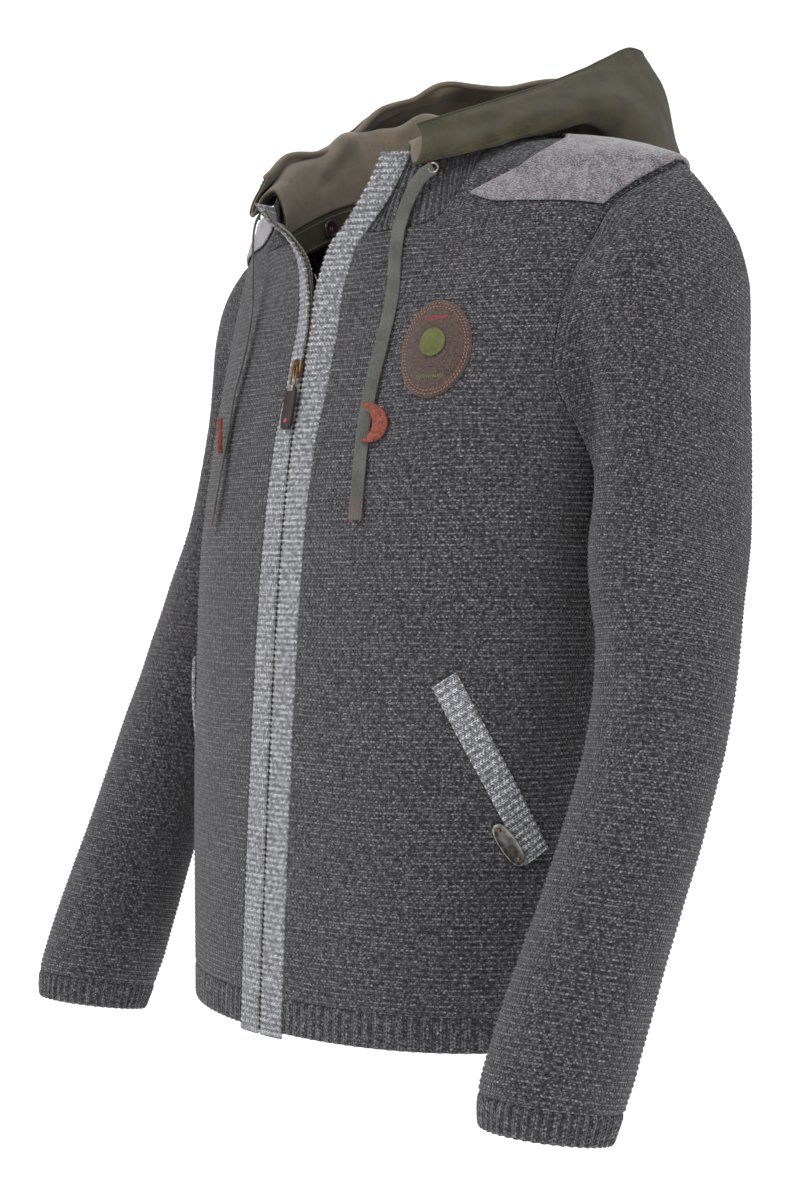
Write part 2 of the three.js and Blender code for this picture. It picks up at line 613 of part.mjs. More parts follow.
function collarGrid() {
  const places = neckLine();
  const corners = places.map((place, i) => {
    if (i === 0 || i === places.length - 1) {
      return flapPoint(place.side, NECK_FRONT + COLLAR_GAP, collarStart);
    }
    const rise = panelRise(place.side, place.angle, place.z);
    return onBody(place.side, place.angle, place.z, 0).addScaledVector(rise, COLLAR_GAP);
  });
  const normals = places.map((place) => bodyNormal(place.side, place.angle, place.z));
  const lengths = [0];
  corners.slice(1).forEach((corner, i) => lengths.push(lengths[i] + corner.distanceTo(corners[i])));
  const total = lengths[lengths.length - 1];
  const columns = COLLAR_RIBS * 2;
  const rows = [[], [], []];
  const faces = [[], [], []];
  for (let i = 0; i <= columns; i += 1) {
    const share = i / columns;
    const length = share * total;
    const next = Math.max(1, lengths.findIndex((end) => end >= length - 1e-9));
    const part = (length - lengths[next - 1]) / (lengths[next] - lengths[next - 1]);
    const base = corners[next - 1].clone().lerp(corners[next], part);
    const normal = normals[next - 1].clone().lerp(normals[next], part).normalize();
    const side = share <= 0.5 ? LEFT : RIGHT;
    const round = 1 - Math.abs(2 * share - 1);
    const top = railPoint(COLLAR_TOP, round ** COLLAR_LEAD, side);
    const end = smooth(1 - round / 0.12);
    const ends = COLLAR_END[side];
    const edge = (z) => flapPoint(side, z, collarStart);
    const middle = base.clone().lerp(top, 0.5).lerp(edge(ends.middle), end);
    top.lerp(edge(ends.top), end);
    rows[0].push(base);
    rows[1].push(middle);
    rows[2].push(top);
    faces[0].push({ normal, end: 1 });
    faces[1].push({ normal: flapFace(side, ends.middle), end });
    faces[2].push({ normal: flapFace(side, ends.top), end });
  }
  const normalsOf = gridNormals(rows).map((row, r) => row.map((own, i) => {
    const { normal, end } = faces[r][i];
    const awayFromNeck = rows[r][i].x * own.x + rows[r][i].y * own.y;
    const outward = awayFromNeck < 0 ? own.negate() : own;
    return outward.lerp(normal, end).normalize();
  }));
  return { rows, normals: normalsOf };
}

const { rows: collar, normals: collarNormals } = collarGrid();
addMesh('collar', wall(
  shifted(collar, collarNormals, (r, c) => KNIT / 2 - RIB_RISE / 2 + (c % 2 ? RIB_RISE * 0.7 : 0)),
  shifted(collar, collarNormals, -KNIT / 2),
), 'charcoal');

// Sleeves: the armhole's corners, a cap that turns down from them, and level sections to the cuff
function sleevePoint(side, z, turn, slope = 0) {
  const forward = Math.sin(turn);
  const depth = (height) => (forward > 0 ? sleeveForm.front(height) : sleeveForm.rear(height));
  const height = z + slope * depth(z) * forward;
  return new THREE.Vector3(
    side * (sleeveForm.x(height) + sleeveForm.side(height) * Math.cos(turn)),
    sleeveForm.y(height) - depth(height) * forward,
    height,
  );
}

// Corners of the armhole from the shoulder tip down the front and up the back
function armholeLoop(side) {
  const rows = panelRows.map((row) => row.z ?? lerp(CHEST, NECK_SEAM_BACK[0].z, row.share));
  const levels = rows.filter((z) => z >= UNDERARM && z <= SHOULDER_TIP + 0.01).reverse();
  const front = levels.map((z) => ({ angle: armhole.front(z), z }));
  const back = levels.slice(1, -1).reverse().map((z) => ({ angle: armhole.back(z), z }));
  const corners = [...front, ...back].map((place) => ({
    point: onBody(side, place.angle, place.z, 0),
    normal: bodyNormal(side, place.angle, place.z),
  }));
  return corners.map(({ point, normal }, i) => {
    const next = corners[(i + 1) % corners.length].point;
    const before = corners[(i + corners.length - 1) % corners.length].point;
    const away = normal.clone().cross(next.clone().sub(before)).normalize().multiplyScalar(side);
    return { point, normal, away };
  });
}

function sleeveGrid(side) {
  const loop = armholeLoop(side);
  const turns = loop.map((_, i) => (2 * Math.PI * i) / loop.length);
  const first = SLEEVE_LEVELS[0];
  const outwards = new THREE.Vector3(side, 0, 0);
  const cap = range(CAP_RINGS).slice(0, -1).map((share) => loop.map((corner, i) => {
    const under = smooth((-Math.cos(turns[i]) - 0.2) / 0.8);
    const start = corner.point.clone()
      .addScaledVector(corner.away, lerp(i < loop.length / 2 ? ARMHOLE_GAP.front : ARMHOLE_GAP.back, 0, under))
      .addScaledVector(outwards, lerp(0, UNDERARM_GAP, under));
    const end = sleevePoint(side, first.z, turns[i], first.slope);
    const fall = share ** lerp(2.1, 1.3, under);
    const z = lerp(corner.point.z, end.z, fall);
    const pull = lerp((1 - share) ** 5, 1 - smooth(share), under);
    const miss = start.clone().sub(sleevePoint(side, corner.point.z, turns[i]));
    return sleevePoint(side, z, turns[i]).addScaledVector(miss, pull);
  }));
  const tube = SLEEVE_LEVELS.map((level, i) => turns.map((turn) => {
    const gap = i === SLEEVE_LEVELS.length - 1 ? HALF_CUFF_GAP : 0;
    return sleevePoint(side, level.z + gap, turn, level.slope);
  }));
  const grid = [...cap, ...tube];
  const normals = outwardNormals(grid);
  normals[0].forEach((normal, i) => {
    const under = smooth((-Math.cos(turns[i]) - 0.2) / 0.8);
    normal.lerp(loop[i].normal, 1 - under).normalize();
  });
  return { grid, normals };
}

function outwardNormals(grid) {
  const normals = gridNormals(grid, true);
  const first = grid[grid.length - 1][0];
  const across = first.clone().sub(grid[grid.length - 1][Math.floor(grid[0].length / 2)]);
  const turned = normals[grid.length - 1][0].dot(across) < 0;
  return turned ? normals.map((row) => row.map((normal) => normal.negate())) : normals;
}

for (const side of [LEFT, RIGHT]) {
  const { grid, normals } = sleeveGrid(side);
  const faces = [KNIT / 2, -KNIT / 2].map((out) => shifted(grid, normals, out).reverse());
  const sleeve = wall(...faces, true);
  addMesh(`sleeve_${sideName(side)}`, sleeve, 'charcoal');
  const last = SLEEVE_LEVELS[SLEEVE_LEVELS.length - 1];
  const columns = CUFF_RIBS * 2;
  const ends = [{ z: last.z - HALF_CUFF_GAP, slope: last.slope }, CUFF_BOTTOM];
  const cuffGrid = ends.map((end) => Array.from({ length: columns }, (_, i) => {
    return sleevePoint(side, end.z, (2 * Math.PI * i) / columns, end.slope);
  }));
  const cuffNormals = outwardNormals(cuffGrid);
  const ribbed = (r, c) => KNIT / 2 - RIB_RISE / 2 + (c % 2 ? RIB_RISE : 0);
  const cuff = wall(shifted(cuffGrid, cuffNormals, ribbed), shifted(cuffGrid, cuffNormals, -KNIT / 2), true);
  addMesh(`cuff_${sideName(side)}`, cuff, 'charcoal');
}

// Shoulder patches: felt over the shoulder seam, from a point at the collar to the armhole
const YOKE_EDGE = [
  { share: 0, angle: 54.5, z: -57.5 },
  { share: 0.27, angle: 61, z: -65 },
  { share: 0.58, angle: 68, z: -67 },
  { share: 0.84, angle: 74.5, z: -69 },
  { share: 1, angle: 79.3, z: -72 },
];
const yokeEdge = curves(YOKE_EDGE, ['angle', 'z'], 'share');
const YOKE_RIDGE = { inner: -9, outer: -38.5 };
const YOKE_LIFT = 1.3; // off the knit, whose own facets are longer and bulge between its corners

function yokeGrid(side, out) {
  return range(10).map((lengthwise) => range(6).map((share) => {
    const over = 2 * lengthwise - 1;
    const away = Math.abs(over) ** 0.8;
    const angle = lerp(89.7, yokeEdge.angle(share), away);
    const ridge = lerp(YOKE_RIDGE.inner, YOKE_RIDGE.outer, share ** 1.1);
    const z = lerp(ridge, yokeEdge.z(share), away ** 1.4);
    return onBody(side, over < 0 ? angle : 180 - angle, z, out);
  }));
}
const yokeUnder = KNIT / 2 + YOKE_LIFT;
for (const side of [LEFT, RIGHT]) {
  const felt = wall(yokeGrid(side, yokeUnder + FELT), yokeGrid(side, yokeUnder));
  addMesh(`yoke_${sideName(side)}`, felt, 'felt');
}

// Hood, pushed back: cloth outside, lining inside, both through the rails
function railColumn(share, side) {
  const points = HOOD_RAILS.map((rail) => railPoint(rail, share, side));
  const line = new THREE.CatmullRomCurve3(points, false, 'centripetal');
  return HOOD_ROWS.map((row) => line.getPoint(row / (HOOD_RAILS.length - 1)));
}

function hoodGrid() {
  const columns = range(HOOD_STOPS).map((share) => {
    const side = share <= 0.5 ? LEFT : RIGHT;
    return railColumn(1 - Math.abs(2 * share - 1), side);
  });
  return columns[0].map((_, row) => columns.map((column) => column[row]));
}

const hood = hoodGrid();
const hoodNormals = gridNormals(hood);
const hoodTurn = hoodNormals[0][Math.floor(HOOD_STOPS / 2)].y > 0 ? 1 : -1;
const hoodWall = (from, to) => wall(shifted(hood, hoodNormals, hoodTurn * to), shifted(hood, hoodNormals, hoodTurn * from));
addMesh('hood_outer', hoodWall(SEAM / 2, SEAM / 2 + CLOTH), 'olive');
addMesh('hood_lining', hoodWall(-SEAM / 2 - CLOTH, -SEAM / 2), 'taupe');

// Hood band inside the collar, with the buttons that hold the hood
const BAND_DROP = 24;
const BAND_CLOTH = { inside: -0.7, outside: 1.3 }; // doubled cloth, about the line of the hood's edge
const BAND_BELOW = SEAM + 0.5; // under the hood's lowest row
function hoodBandGrid(out) {
  const top = HOOD_RAILS[0];
  return [1, 0].map((low) => range(HOOD_STOPS).map((share) => {
    const side = share <= 0.5 ? LEFT : RIGHT;
    const point = railPoint(top, 1 - Math.abs(2 * share - 1), side);
    const inward = new THREE.Vector3(point.x, point.y, 0).normalize();
    point.z -= BAND_BELOW + low * BAND_DROP;
    return point.addScaledVector(inward, out);
  }));
}
addMesh('hood_band', wall(hoodBandGrid(BAND_CLOTH.outside), hoodBandGrid(BAND_CLOTH.inside)), 'olive');

// Small round pieces: a turned outline with its axis along a direction
function turned(name, outline, place, direction, colour, sides = 10) {
  const geometry = new THREE.LatheGeometry(outline.map(([r, h]) => new THREE.Vector2(r, h)), sides);
  const mesh = addMesh(name, geometry, colour);
  mesh.position.copy(place);
  mesh.quaternion.setFromUnitVectors(new THREE.Vector3(0, 1, 0), direction);
}

const BUTTON_SHARE = 0.2; // place along the hood's neck edge, from its front end
const BUTTON_STAND = 1.9; // from the line of the hood's edge to the button's flat back
const BUTTON_OUTLINE = [[0, 0], [7, 0], [7.5, 1], [7, 2.4], [5.4, 2.8], [4.8, 2], [0, 2]];
for (const side of [LEFT, RIGHT]) {
  const place = railPoint(HOOD_RAILS[0], BUTTON_SHARE, side);
  const along = railPoint(HOOD_RAILS[0], BUTTON_SHARE + 0.02, side).sub(place);
  const inward = new THREE.Vector3(-side * along.y, side * along.x, 0).normalize();
  place.z -= BAND_BELOW + BAND_DROP / 2;
  place.addScaledVector(inward, BUTTON_STAND);
  turned(`hood_button_${sideName(side)}`, BUTTON_OUTLINE, place, inward, 'horn');
}

// Pocket welts: ribbed bars along a slanting line on each front
function weltGrid(side, out, rise) {
  const columns = WELT_RIBS * 2;
  const high = bodyPoint(side, WELT_TOP.angle, WELT_TOP.z);
  const low = bodyPoint(side, WELT_FOOT.angle, WELT_FOOT.z);
  const fall = Math.atan2(high.z - low.z, high.distanceTo(low) * WELT_RUN);
  return [-0.5, 0.5].map((across) => Array.from({ length: columns + 1 }, (_, i) => {
    const share = i / columns;
    const angle = lerp(WELT_TOP.angle, WELT_FOOT.angle, share);
    const z = lerp(WELT_TOP.z, WELT_FOOT.z, share);
    const wide = across * WELT_WIDTH;
    return besideOnBody(side, angle, z, wide * Math.sin(fall), wide * Math.cos(fall), out + (i % 2 ? rise : 0));
  }));
}
const onKnit = KNIT / 2 + 0.4; // underside of what is sewn on a panel
for (const side of [LEFT, RIGHT]) {
  const outer = weltGrid(side, onKnit + WELT_WALL - RIB_RISE, RIB_RISE);
  addMesh(`welt_${sideName(side)}`, wall(outer, weltGrid(side, onKnit, 0)), 'paleKnit');
}

// Flat trims on the left front: the badge and the small metal tag below the pocket
// Rings of an oval from its middle outwards, laid on the body form
function ovalPad(side, place, from, wallThickness, rings, sides, tilt = 0) {
  const turn = radians(tilt);
  const layer = (out) => {
    const points = [besideOnBody(side, place.angle, place.z, 0, 0, out)];
    for (let ring = 1; ring <= rings; ring += 1) {
      for (let i = 0; i < sides; i += 1) {
        const round = (2 * Math.PI * i) / sides;
        const x = (place.width / 2) * (ring / rings) * Math.cos(round);
        const y = (place.height / 2) * (ring / rings) * Math.sin(round);
        const across = x * Math.cos(turn) + y * Math.sin(turn);
        const up = y * Math.cos(turn) - x * Math.sin(turn);
        points.push(besideOnBody(side, place.angle, place.z, across, up, out));
      }
    }
    return points;
  };
  const points = [...layer(from + wallThickness), ...layer(from)];
  const count = points.length / 2;
  const faces = [];
  const at = (ring, i) => 1 + (ring - 1) * sides + (i % sides);
  for (let i = 0; i < sides; i += 1) {
    faces.push([0, at(1, i), at(1, i + 1)]);
    for (let ring = 1; ring < rings; ring += 1) {
      faces.push([at(ring, i), at(ring + 1, i), at(ring + 1, i + 1)], [at(ring, i), at(ring + 1, i + 1), at(ring, i + 1)]);
    }
  }
  const under = faces.map(([a, b, c]) => [a + count, c + count, b + count]);
  const rim = [];
  for (let i = 0; i < sides; i += 1) {
    const [a, b] = [at(rings, i), at(rings, i + 1)];
    rim.push([a, a + count, b + count], [a, b + count, b]);
  }
  return geometryOf(points, [...faces, ...under, ...rim]);
}

addMesh('badge', ovalPad(LEFT, BADGE, onKnit, BADGE.wall, 2, 20), 'badge');
const badgeTop = onKnit + BADGE.wall + SEAM;
const BADGE_BOSS = { angle: BADGE.angle, z: BADGE.z + 4, width: 20, height: 20, wall: 1.6 };
addMesh('badge_boss', ovalPad(LEFT, BADGE_BOSS, badgeTop, BADGE_BOSS.wall, 1, 16), 'moss');
addMesh('pocket_tag', ovalPad(LEFT, TAG, onKnit + WELT_WALL + SEAM, TAG.wall, 1, 18, TAG.tilt), 'steel');

// Zip slider and its pull, which swings about a bar across the slider. The head's own Y runs up
// the bands and its Z stands off them.
const zipHead = new THREE.Group();
zipHead.position.set(flap[LEFT].x(SLIDER.z), flap[LEFT].y(SLIDER.z) - BAND / 2 - SEAM, SLIDER.z);
zipHead.rotation.x = Math.PI / 2 - radians(ZIP_TILT);
group.add(zipHead);

const sliderShape = new THREE.Shape();
sliderShape.moveTo(-SLIDER.width / 2, SLIDER.height / 2);
sliderShape.lineTo(-SLIDER.width / 2, -SLIDER.height / 5);
sliderShape.lineTo(-SLIDER.width / 3, -SLIDER.height / 2);
sliderShape.lineTo(SLIDER.width / 3, -SLIDER.height / 2);
sliderShape.lineTo(SLIDER.width / 2, -SLIDER.height / 5);
sliderShape.lineTo(SLIDER.width / 2, SLIDER.height / 2);
const sliderSolid = new THREE.ExtrudeGeometry(sliderShape, { depth: SLIDER.depth, bevelEnabled: false, steps: 1 });
zipHead.add(addMesh('zip_slider', sliderSolid, 'brass'));

const pull = new THREE.Group();
pull.position.set(0, PULL.barHeight, SLIDER.depth + PULL.clearance + PULL.wire / 2);
zipHead.add(pull);

// An upright frame of square wire whose top bar lies along the pivot
function framed(width, height, wire, depth) {
  const rectangle = (path, half, top, bottom) => {
    path.moveTo(-half, top);
    path.lineTo(half, top);
    path.lineTo(half, bottom);
    path.lineTo(-half, bottom);
    path.closePath();
    return path;
  };
  const outer = rectangle(new THREE.Shape(), width / 2, wire / 2, wire / 2 - height);
  // the hole runs round the other way
  outer.holes.push(rectangle(new THREE.Path(), width / 2 - wire, 1.5 * wire - height, -wire / 2));
  return new THREE.ExtrudeGeometry(outer, { depth, bevelEnabled: false, steps: 1 });
}

function addPull(name, geometry, colour, thickness) {
  const mesh = addMesh(name, geometry, colour);
  mesh.position.z = -thickness / 2;
  pull.add(mesh);
}
addPull('zip_pull_bail', framed(PULL.bailWidth, PULL.bail, PULL.wire, PULL.wire), 'brass', PULL.wire);

const tabShape = new THREE.Shape();
const tabTop = PULL.wire / 2 - PULL.bail - SEAM;
const [tabHalf, tabEnd, tabRound] = [PULL.tabWidth / 2, tabTop - PULL.tabHeight, 3];
tabShape.moveTo(-tabHalf + 1.5, tabTop);
tabShape.lineTo(tabHalf - 1.5, tabTop);
tabShape.lineTo(tabHalf, tabTop - 2);
tabShape.lineTo(tabHalf, tabEnd + tabRound);
tabShape.absarc(tabHalf - tabRound, tabEnd + tabRound, tabRound, 0, -Math.PI / 2, true);
tabShape.lineTo(-tabHalf + tabRound, tabEnd);
tabShape.absarc(-tabHalf + tabRound, tabEnd + tabRound, tabRound, -Math.PI / 2, -Math.PI, true);
tabShape.lineTo(-tabHalf, tabTop - 2);
tabShape.closePath();
const tabSolid = new THREE.ExtrudeGeometry(tabShape, {
  depth: PULL.tabWall, bevelEnabled: false, steps: 1, curveSegments: 4,
});
addPull('zip_pull_tab', tabSolid, 'rubber', PULL.tabWall);

// Drawstrings: flat tapes from eyelets in the hood's edge, each through a leather toggle
function tapeSolid(side) {
  const points = STRING_ROUTE[side].map(([x, y, z]) => new THREE.Vector3(x, y, z));
  const line = new THREE.CatmullRomCurve3(points, false, 'centripetal');
  const steps = 18;
  const flat = new THREE.Vector3(side * 0.8, 0.6, 0); // the tape's flat lies this way across
  const rings = range(steps).map((share) => {
    const centre = line.getPointAt(share);
    const tangent = line.getTangentAt(share);
    const across = flat.clone().addScaledVector(tangent, -flat.dot(tangent)).normalize();
    const face = new THREE.Vector3().crossVectors(tangent, across).normalize();
    return Array.from({ length: 8 }, (_, i) => {
      const turn = (2 * Math.PI * (i + 0.5)) / 8;
      const wide = (TAPE.width / 2) * Math.sign(Math.cos(turn)) * Math.abs(Math.cos(turn)) ** 0.35;
      const deep = (TAPE.wall / 2) * Math.sign(Math.sin(turn)) * Math.abs(Math.sin(turn)) ** 0.7;
      return centre.clone().addScaledVector(across, wide).addScaledVector(face, deep);
    });
  });
  const faces = [];
  const at = (ring, i) => ring * 8 + (i % 8);
  for (let ring = 0; ring < steps; ring += 1) {
    for (let i = 0; i < 8; i += 1) {
      faces.push([at(ring, i), at(ring, i + 1), at(ring + 1, i + 1)], [at(ring, i), at(ring + 1, i + 1), at(ring + 1, i)]);
    }
  }
  for (let i = 1; i < 7; i += 1) {
    faces.push([at(0, 0), at(0, i + 1), at(0, i)], [at(steps, 0), at(steps, i), at(steps, i + 1)]);
  }
  return { geometry: geometryOf(rings.flat(), faces), line };
}

for (const side of [LEFT, RIGHT]) {
  const { geometry, line } = tapeSolid(side);
  addMesh(`drawstring_${sideName(side)}`, geometry, 'greyGreen');
  const shape = new THREE.Shape();
  shape.absarc(0, 0, TOGGLE.radius, radians(TOGGLE.horn), radians(360 - TOGGLE.horn), false);
  const { radius, bite, biteAt, biteHorn } = TOGGLE;
  shape.absarc(radius * biteAt, 0, radius * bite, radians(360 - biteHorn), radians(biteHorn), true);
  shape.closePath();
  const solid = new THREE.ExtrudeGeometry(shape, {
    depth: TOGGLE.wall, bevelEnabled: false, steps: 1, curveSegments: 9,
  });
  const at = range(60).map((share) => line.getPointAt(share)).reduce((best, point) => {
    return Math.abs(point.z - TOGGLE.z) < Math.abs(best.z - TOGGLE.z) ? point : best;
  });
  const toggle = addMesh(`toggle_${sideName(side)}`, solid, 'leather');
  const facing = new THREE.Vector3(side * 0.6, -0.8, 0).normalize();
  toggle.quaternion.setFromUnitVectors(new THREE.Vector3(0, 0, 1), facing);
  toggle.position.copy(at).addScaledVector(facing, TOGGLE.gap);
  toggle.position.x += side * TOGGLE.aside;
}

export default group;
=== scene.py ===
# %% [markdown]
# A hooded zip cardigan in heavy charcoal knit, filled out as if it were worn, with nobody in it.
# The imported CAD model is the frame: it says where every piece lies, in metres, +Z up, with the front
# towards -Y. Each cell below dresses one part of it. The shapes are worked out in millimetres with
# numpy, as whole grids of points, and become metres when they are put into a mesh.

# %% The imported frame
import bpy
import numpy as np
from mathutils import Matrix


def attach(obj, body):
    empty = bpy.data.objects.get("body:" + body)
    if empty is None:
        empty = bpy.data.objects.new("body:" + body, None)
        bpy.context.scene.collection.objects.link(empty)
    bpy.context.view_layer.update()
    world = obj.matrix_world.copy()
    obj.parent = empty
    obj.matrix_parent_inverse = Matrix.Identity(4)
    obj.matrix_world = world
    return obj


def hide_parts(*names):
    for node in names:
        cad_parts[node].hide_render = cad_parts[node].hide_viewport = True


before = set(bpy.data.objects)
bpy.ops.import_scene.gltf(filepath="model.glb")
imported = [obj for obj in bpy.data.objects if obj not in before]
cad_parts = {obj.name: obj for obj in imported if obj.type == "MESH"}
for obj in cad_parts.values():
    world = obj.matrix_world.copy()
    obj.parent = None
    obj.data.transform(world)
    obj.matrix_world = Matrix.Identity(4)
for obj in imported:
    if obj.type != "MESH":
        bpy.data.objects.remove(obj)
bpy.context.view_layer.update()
MM = 0.001
UP = np.array([0.0, 0.0, 1.0])
LEFT, RIGHT = 1, -1
SIDE_NAMES = {LEFT: "left", RIGHT: "right"}
print("nodes in the frame:", len(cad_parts))

# %% [markdown]
# The camera stands where the photographer's did: in front and to the wearer's left, about level with
# the waist, 1.6 m away. These few numbers were found by laying measured points of the garment, such
# as the hem, the cuffs and the shoulder, over the same points of the picture.

# %% Camera
PICTURE_HEIGHT_PX = 1200
FOCAL_PX = 2094.91
SENSOR_MM = 36.0
CAMERA_AZIMUTH = np.radians(49.48)
CAMERA_PITCH = np.radians(1.04)
CAMERA_ASIDE, CAMERA_AWAY, CAMERA_HEIGHT = -29.4, 1636.7, -320.6

camera_right = np.array([np.cos(CAMERA_AZIMUTH), np.sin(CAMERA_AZIMUTH), 0.0])
camera_ahead = np.array([-np.sin(CAMERA_AZIMUTH), np.cos(CAMERA_AZIMUTH), 0.0])
camera_place = camera_right * CAMERA_ASIDE - camera_ahead * CAMERA_AWAY
camera_place[2] = CAMERA_HEIGHT

camera = bpy.data.objects.new("camera", bpy.data.cameras.new("camera"))
camera.data.sensor_fit = "VERTICAL"
camera.data.sensor_height = SENSOR_MM
camera.data.lens = FOCAL_PX * SENSOR_MM / PICTURE_HEIGHT_PX
camera.location = camera_place * MM
camera.rotation_euler = (np.pi / 2 - CAMERA_PITCH, 0.0, CAMERA_AZIMUTH)
bpy.context.scene.collection.objects.link(camera)
bpy.context.scene.camera = camera
print("lens", round(camera.data.lens, 2), "mm")

# %% [markdown]
# Two small helpers do most of the drawing in this notebook. `curve` runs a smooth line through a
# table without ever swinging past its rows, which is how the body's sections change with height.
# `spline` runs through points in space, and takes whole grids of lines at once.

# %% Curves
def lerp(a, b, share):
    """Part of the way from a to b: a + (b - a) * share."""
    return a + (b - a) * share


def smooth(value):
    """An S-shaped step from 0 to 1: 3 x squared minus 2 x cubed, held outside 0 to 1."""
    value = np.clip(value, 0.0, 1.0)
    return value * value * (3.0 - 2.0 * value)


def stacked(*parts):
    """Points from their coordinates, which may be single numbers, rows, columns or whole grids."""
    return np.stack(np.broadcast_arrays(*parts), axis=-1).astype(float)


def unit(vectors):
    """Vectors of length one."""
    return vectors / np.maximum(np.linalg.norm(vectors, axis=-1, keepdims=True), 1e-12)


def curve(rows, column):
    """A cubic through the table's rows whose slope at a row is the harmonic mean of the chords
    beside it, or flat where they differ in sign, so that it never swings past a row."""
    rows = np.array(rows, float)
    rows = rows[np.argsort(rows[:, 0])]
    x, y = rows[:, 0], rows[:, column]
    chords = np.diff(y) / np.diff(x)
    before, after = chords[:-1], chords[1:]
    both = np.where(before + after == 0, 1.0, before + after)
    inner = np.where(before * after <= 0, 0.0, 2.0 * before * after / both)
    slopes = np.concatenate([chords[:1], inner, chords[-1:]])

    def at(value):
        value = np.clip(value, x[0], x[-1])
        i = np.clip(np.searchsorted(x, value, side="right") - 1, 0, len(x) - 2)
        span = x[i + 1] - x[i]
        s = (value - x[i]) / span
        rise = (y[i + 1] - y[i]) * s * s * (3.0 - 2.0 * s)
        return y[i] + rise + span * s * (1.0 - s) * (slopes[i] * (1.0 - s) - slopes[i + 1] * s)

    return at


def spline(points, places):
    """A smooth line through points (centripetal Catmull-Rom): its knots stand apart by the square
    root of each chord. A place of 1.5 lies half way from the second point to the third."""
    points = np.asarray(points, float)
    first, last = 2 * points[:1] - points[1:2], 2 * points[-1:] - points[-2:-1]
    ends = np.concatenate([first, points, last])
    places = np.asarray(places, float)
    i = np.clip(np.floor(places).astype(int), 0, len(points) - 2)
    p0, p1, p2, p3 = (ends[i + k] for k in range(4))

    def knot(a, b):
        return np.maximum(np.linalg.norm(b - a, axis=-1, keepdims=True), 1e-9) ** 0.5

    t0, t1, t2 = knot(p0, p1), knot(p1, p2), knot(p2, p3)
    start = ((p1 - p0) / t0 - (p2 - p0) / (t0 + t1) + (p2 - p1) / t1) * t1
    end = ((p2 - p1) / t1 - (p3 - p1) / (t1 + t2) + (p3 - p2) / t2) * t1
    s = (places - i).reshape(places.shape + (1,) * (p1.ndim - 1))
    bend = 3 * (p2 - p1) - 2 * start - end
    return p1 + start * s + bend * s**2 + (2 * (p1 - p2) + start + end) * s**3


def distances(line):
    """How far along the line each of its points lies."""
    steps = np.linalg.norm(np.diff(line, axis=0), axis=-1)
    return np.concatenate([np.zeros((1,) + steps.shape[1:]), np.cumsum(steps, axis=0)])


def evenly(line, count):
    """The line again with count points at equal distances, and those distances."""
    reach = distances(line[:, :3])
    at = np.linspace(0.0, reach[-1], count)
    return np.stack([np.interp(at, reach, line[:, k]) for k in range(line.shape[1])], axis=1), at


# %% [markdown]
# Nearly every piece is one of two surfaces. A wall has an outer and an inner grid of points that are
# closed along their edges, as a knitted panel is. A tube carries a closed outline along a path, as a
# tape, a rolled edge or a bar does. Both are built as arrays of corner numbers, so a panel with forty
# thousand faces takes a moment. The outer grid of a wall may be several times finer than its inner
# one, because nobody counts stitches on the inside.

# %% Meshes
def cells(rows, columns, first=0, ring=False):
    """Corner numbers of a grid's four-sided faces, and the same numbers counted as if the grid had
    one more column, which is how a ring's pattern coordinates run on instead of jumping back."""
    i = np.arange(rows - 1)[:, None]
    j = np.arange(columns if ring else columns - 1)[None, :]
    a, b = first + i * columns + j, first + i * columns + (j + 1) % columns
    wide = columns + 1 if ring else columns
    p, q = i * wide + j, i * wide + j + 1
    corners = np.stack([a, b, b + columns, a + columns], axis=-1).reshape(-1, 4)
    pattern = np.stack([p, q, q + wide, p + wide], axis=-1).reshape(-1, 4)
    return corners, pattern


def wall(outer, inner, uv, ring=False):
    """Points, faces and face patterns of a closed wall. outer has a whole number of row steps for
    each one of inner, and uv is the pattern place of each outer point, one column longer on a ring."""
    (rows, columns), inner_rows = outer.shape[:2], inner.shape[0]
    step = (rows - 1) // (inner_rows - 1)
    count = rows * columns
    points = np.concatenate([outer.reshape(-1, 3), inner.reshape(-1, 3)])
    front, front_uv = cells(rows, columns, 0, ring)
    back, back_uv = cells(inner_rows, columns, count, ring)
    patterns = [uv.reshape(-1, 2)[front_uv], uv[::step].reshape(-1, 2)[back_uv][:, ::-1]]
    faces = front.tolist() + back[:, ::-1].tolist()
    j = np.arange(columns if ring else columns - 1)
    after = (j + 1) % columns
    for row, inner_row, turned in ((0, 0, 1), (rows - 1, inner_rows - 1, -1)):
        a, b = row * columns + j, row * columns + after
        c, d = count + inner_row * columns + after, count + inner_row * columns + j
        faces += np.stack([b, a, d, c], axis=1)[:, ::turned].tolist()
        here, there = uv[row][j], uv[row][j + 1]
        patterns.append(np.stack([there, here, here, there], axis=1)[:, ::turned])
    if not ring:
        k = np.arange(inner_rows - 1)
        for column, turned in ((0, -1), (columns - 1, 1)):
            run = [(k * step + n) * columns + column for n in range(step, -1, -1)]
            run += [count + k * columns + column, count + (k + 1) * columns + column]
            faces += np.stack(run, axis=1)[:, ::turned].tolist()
            along = [uv[k * step + n, column] for n in range(step, -1, -1)]
            along += [uv[k * step, column], uv[(k + 1) * step, column]]
            patterns.append(np.stack(along, axis=1)[:, ::turned])
    return points, faces, np.concatenate([part.reshape(-1, 2) for part in patterns])


def tube(sections, uv):
    """Points, faces and face patterns of a row of closed outlines, closed at both ends. uv is the
    pattern place of each point."""
    rows, columns = sections.shape[:2]
    sides, _ = cells(rows, columns, 0, True)
    last = (rows - 1) * columns
    faces = sides[:, ::-1].tolist()
    faces += [list(range(columns)), list(range(last + columns - 1, last - 1, -1))]
    corners = np.concatenate([np.ravel(face) for face in faces])
    return sections.reshape(-1, 3), faces, uv.reshape(-1, 2)[corners]


def turns(count, start=0.0):
    """Equal turns round a circle, in radians."""
    return (np.arange(count) + start) * 2 * np.pi / count


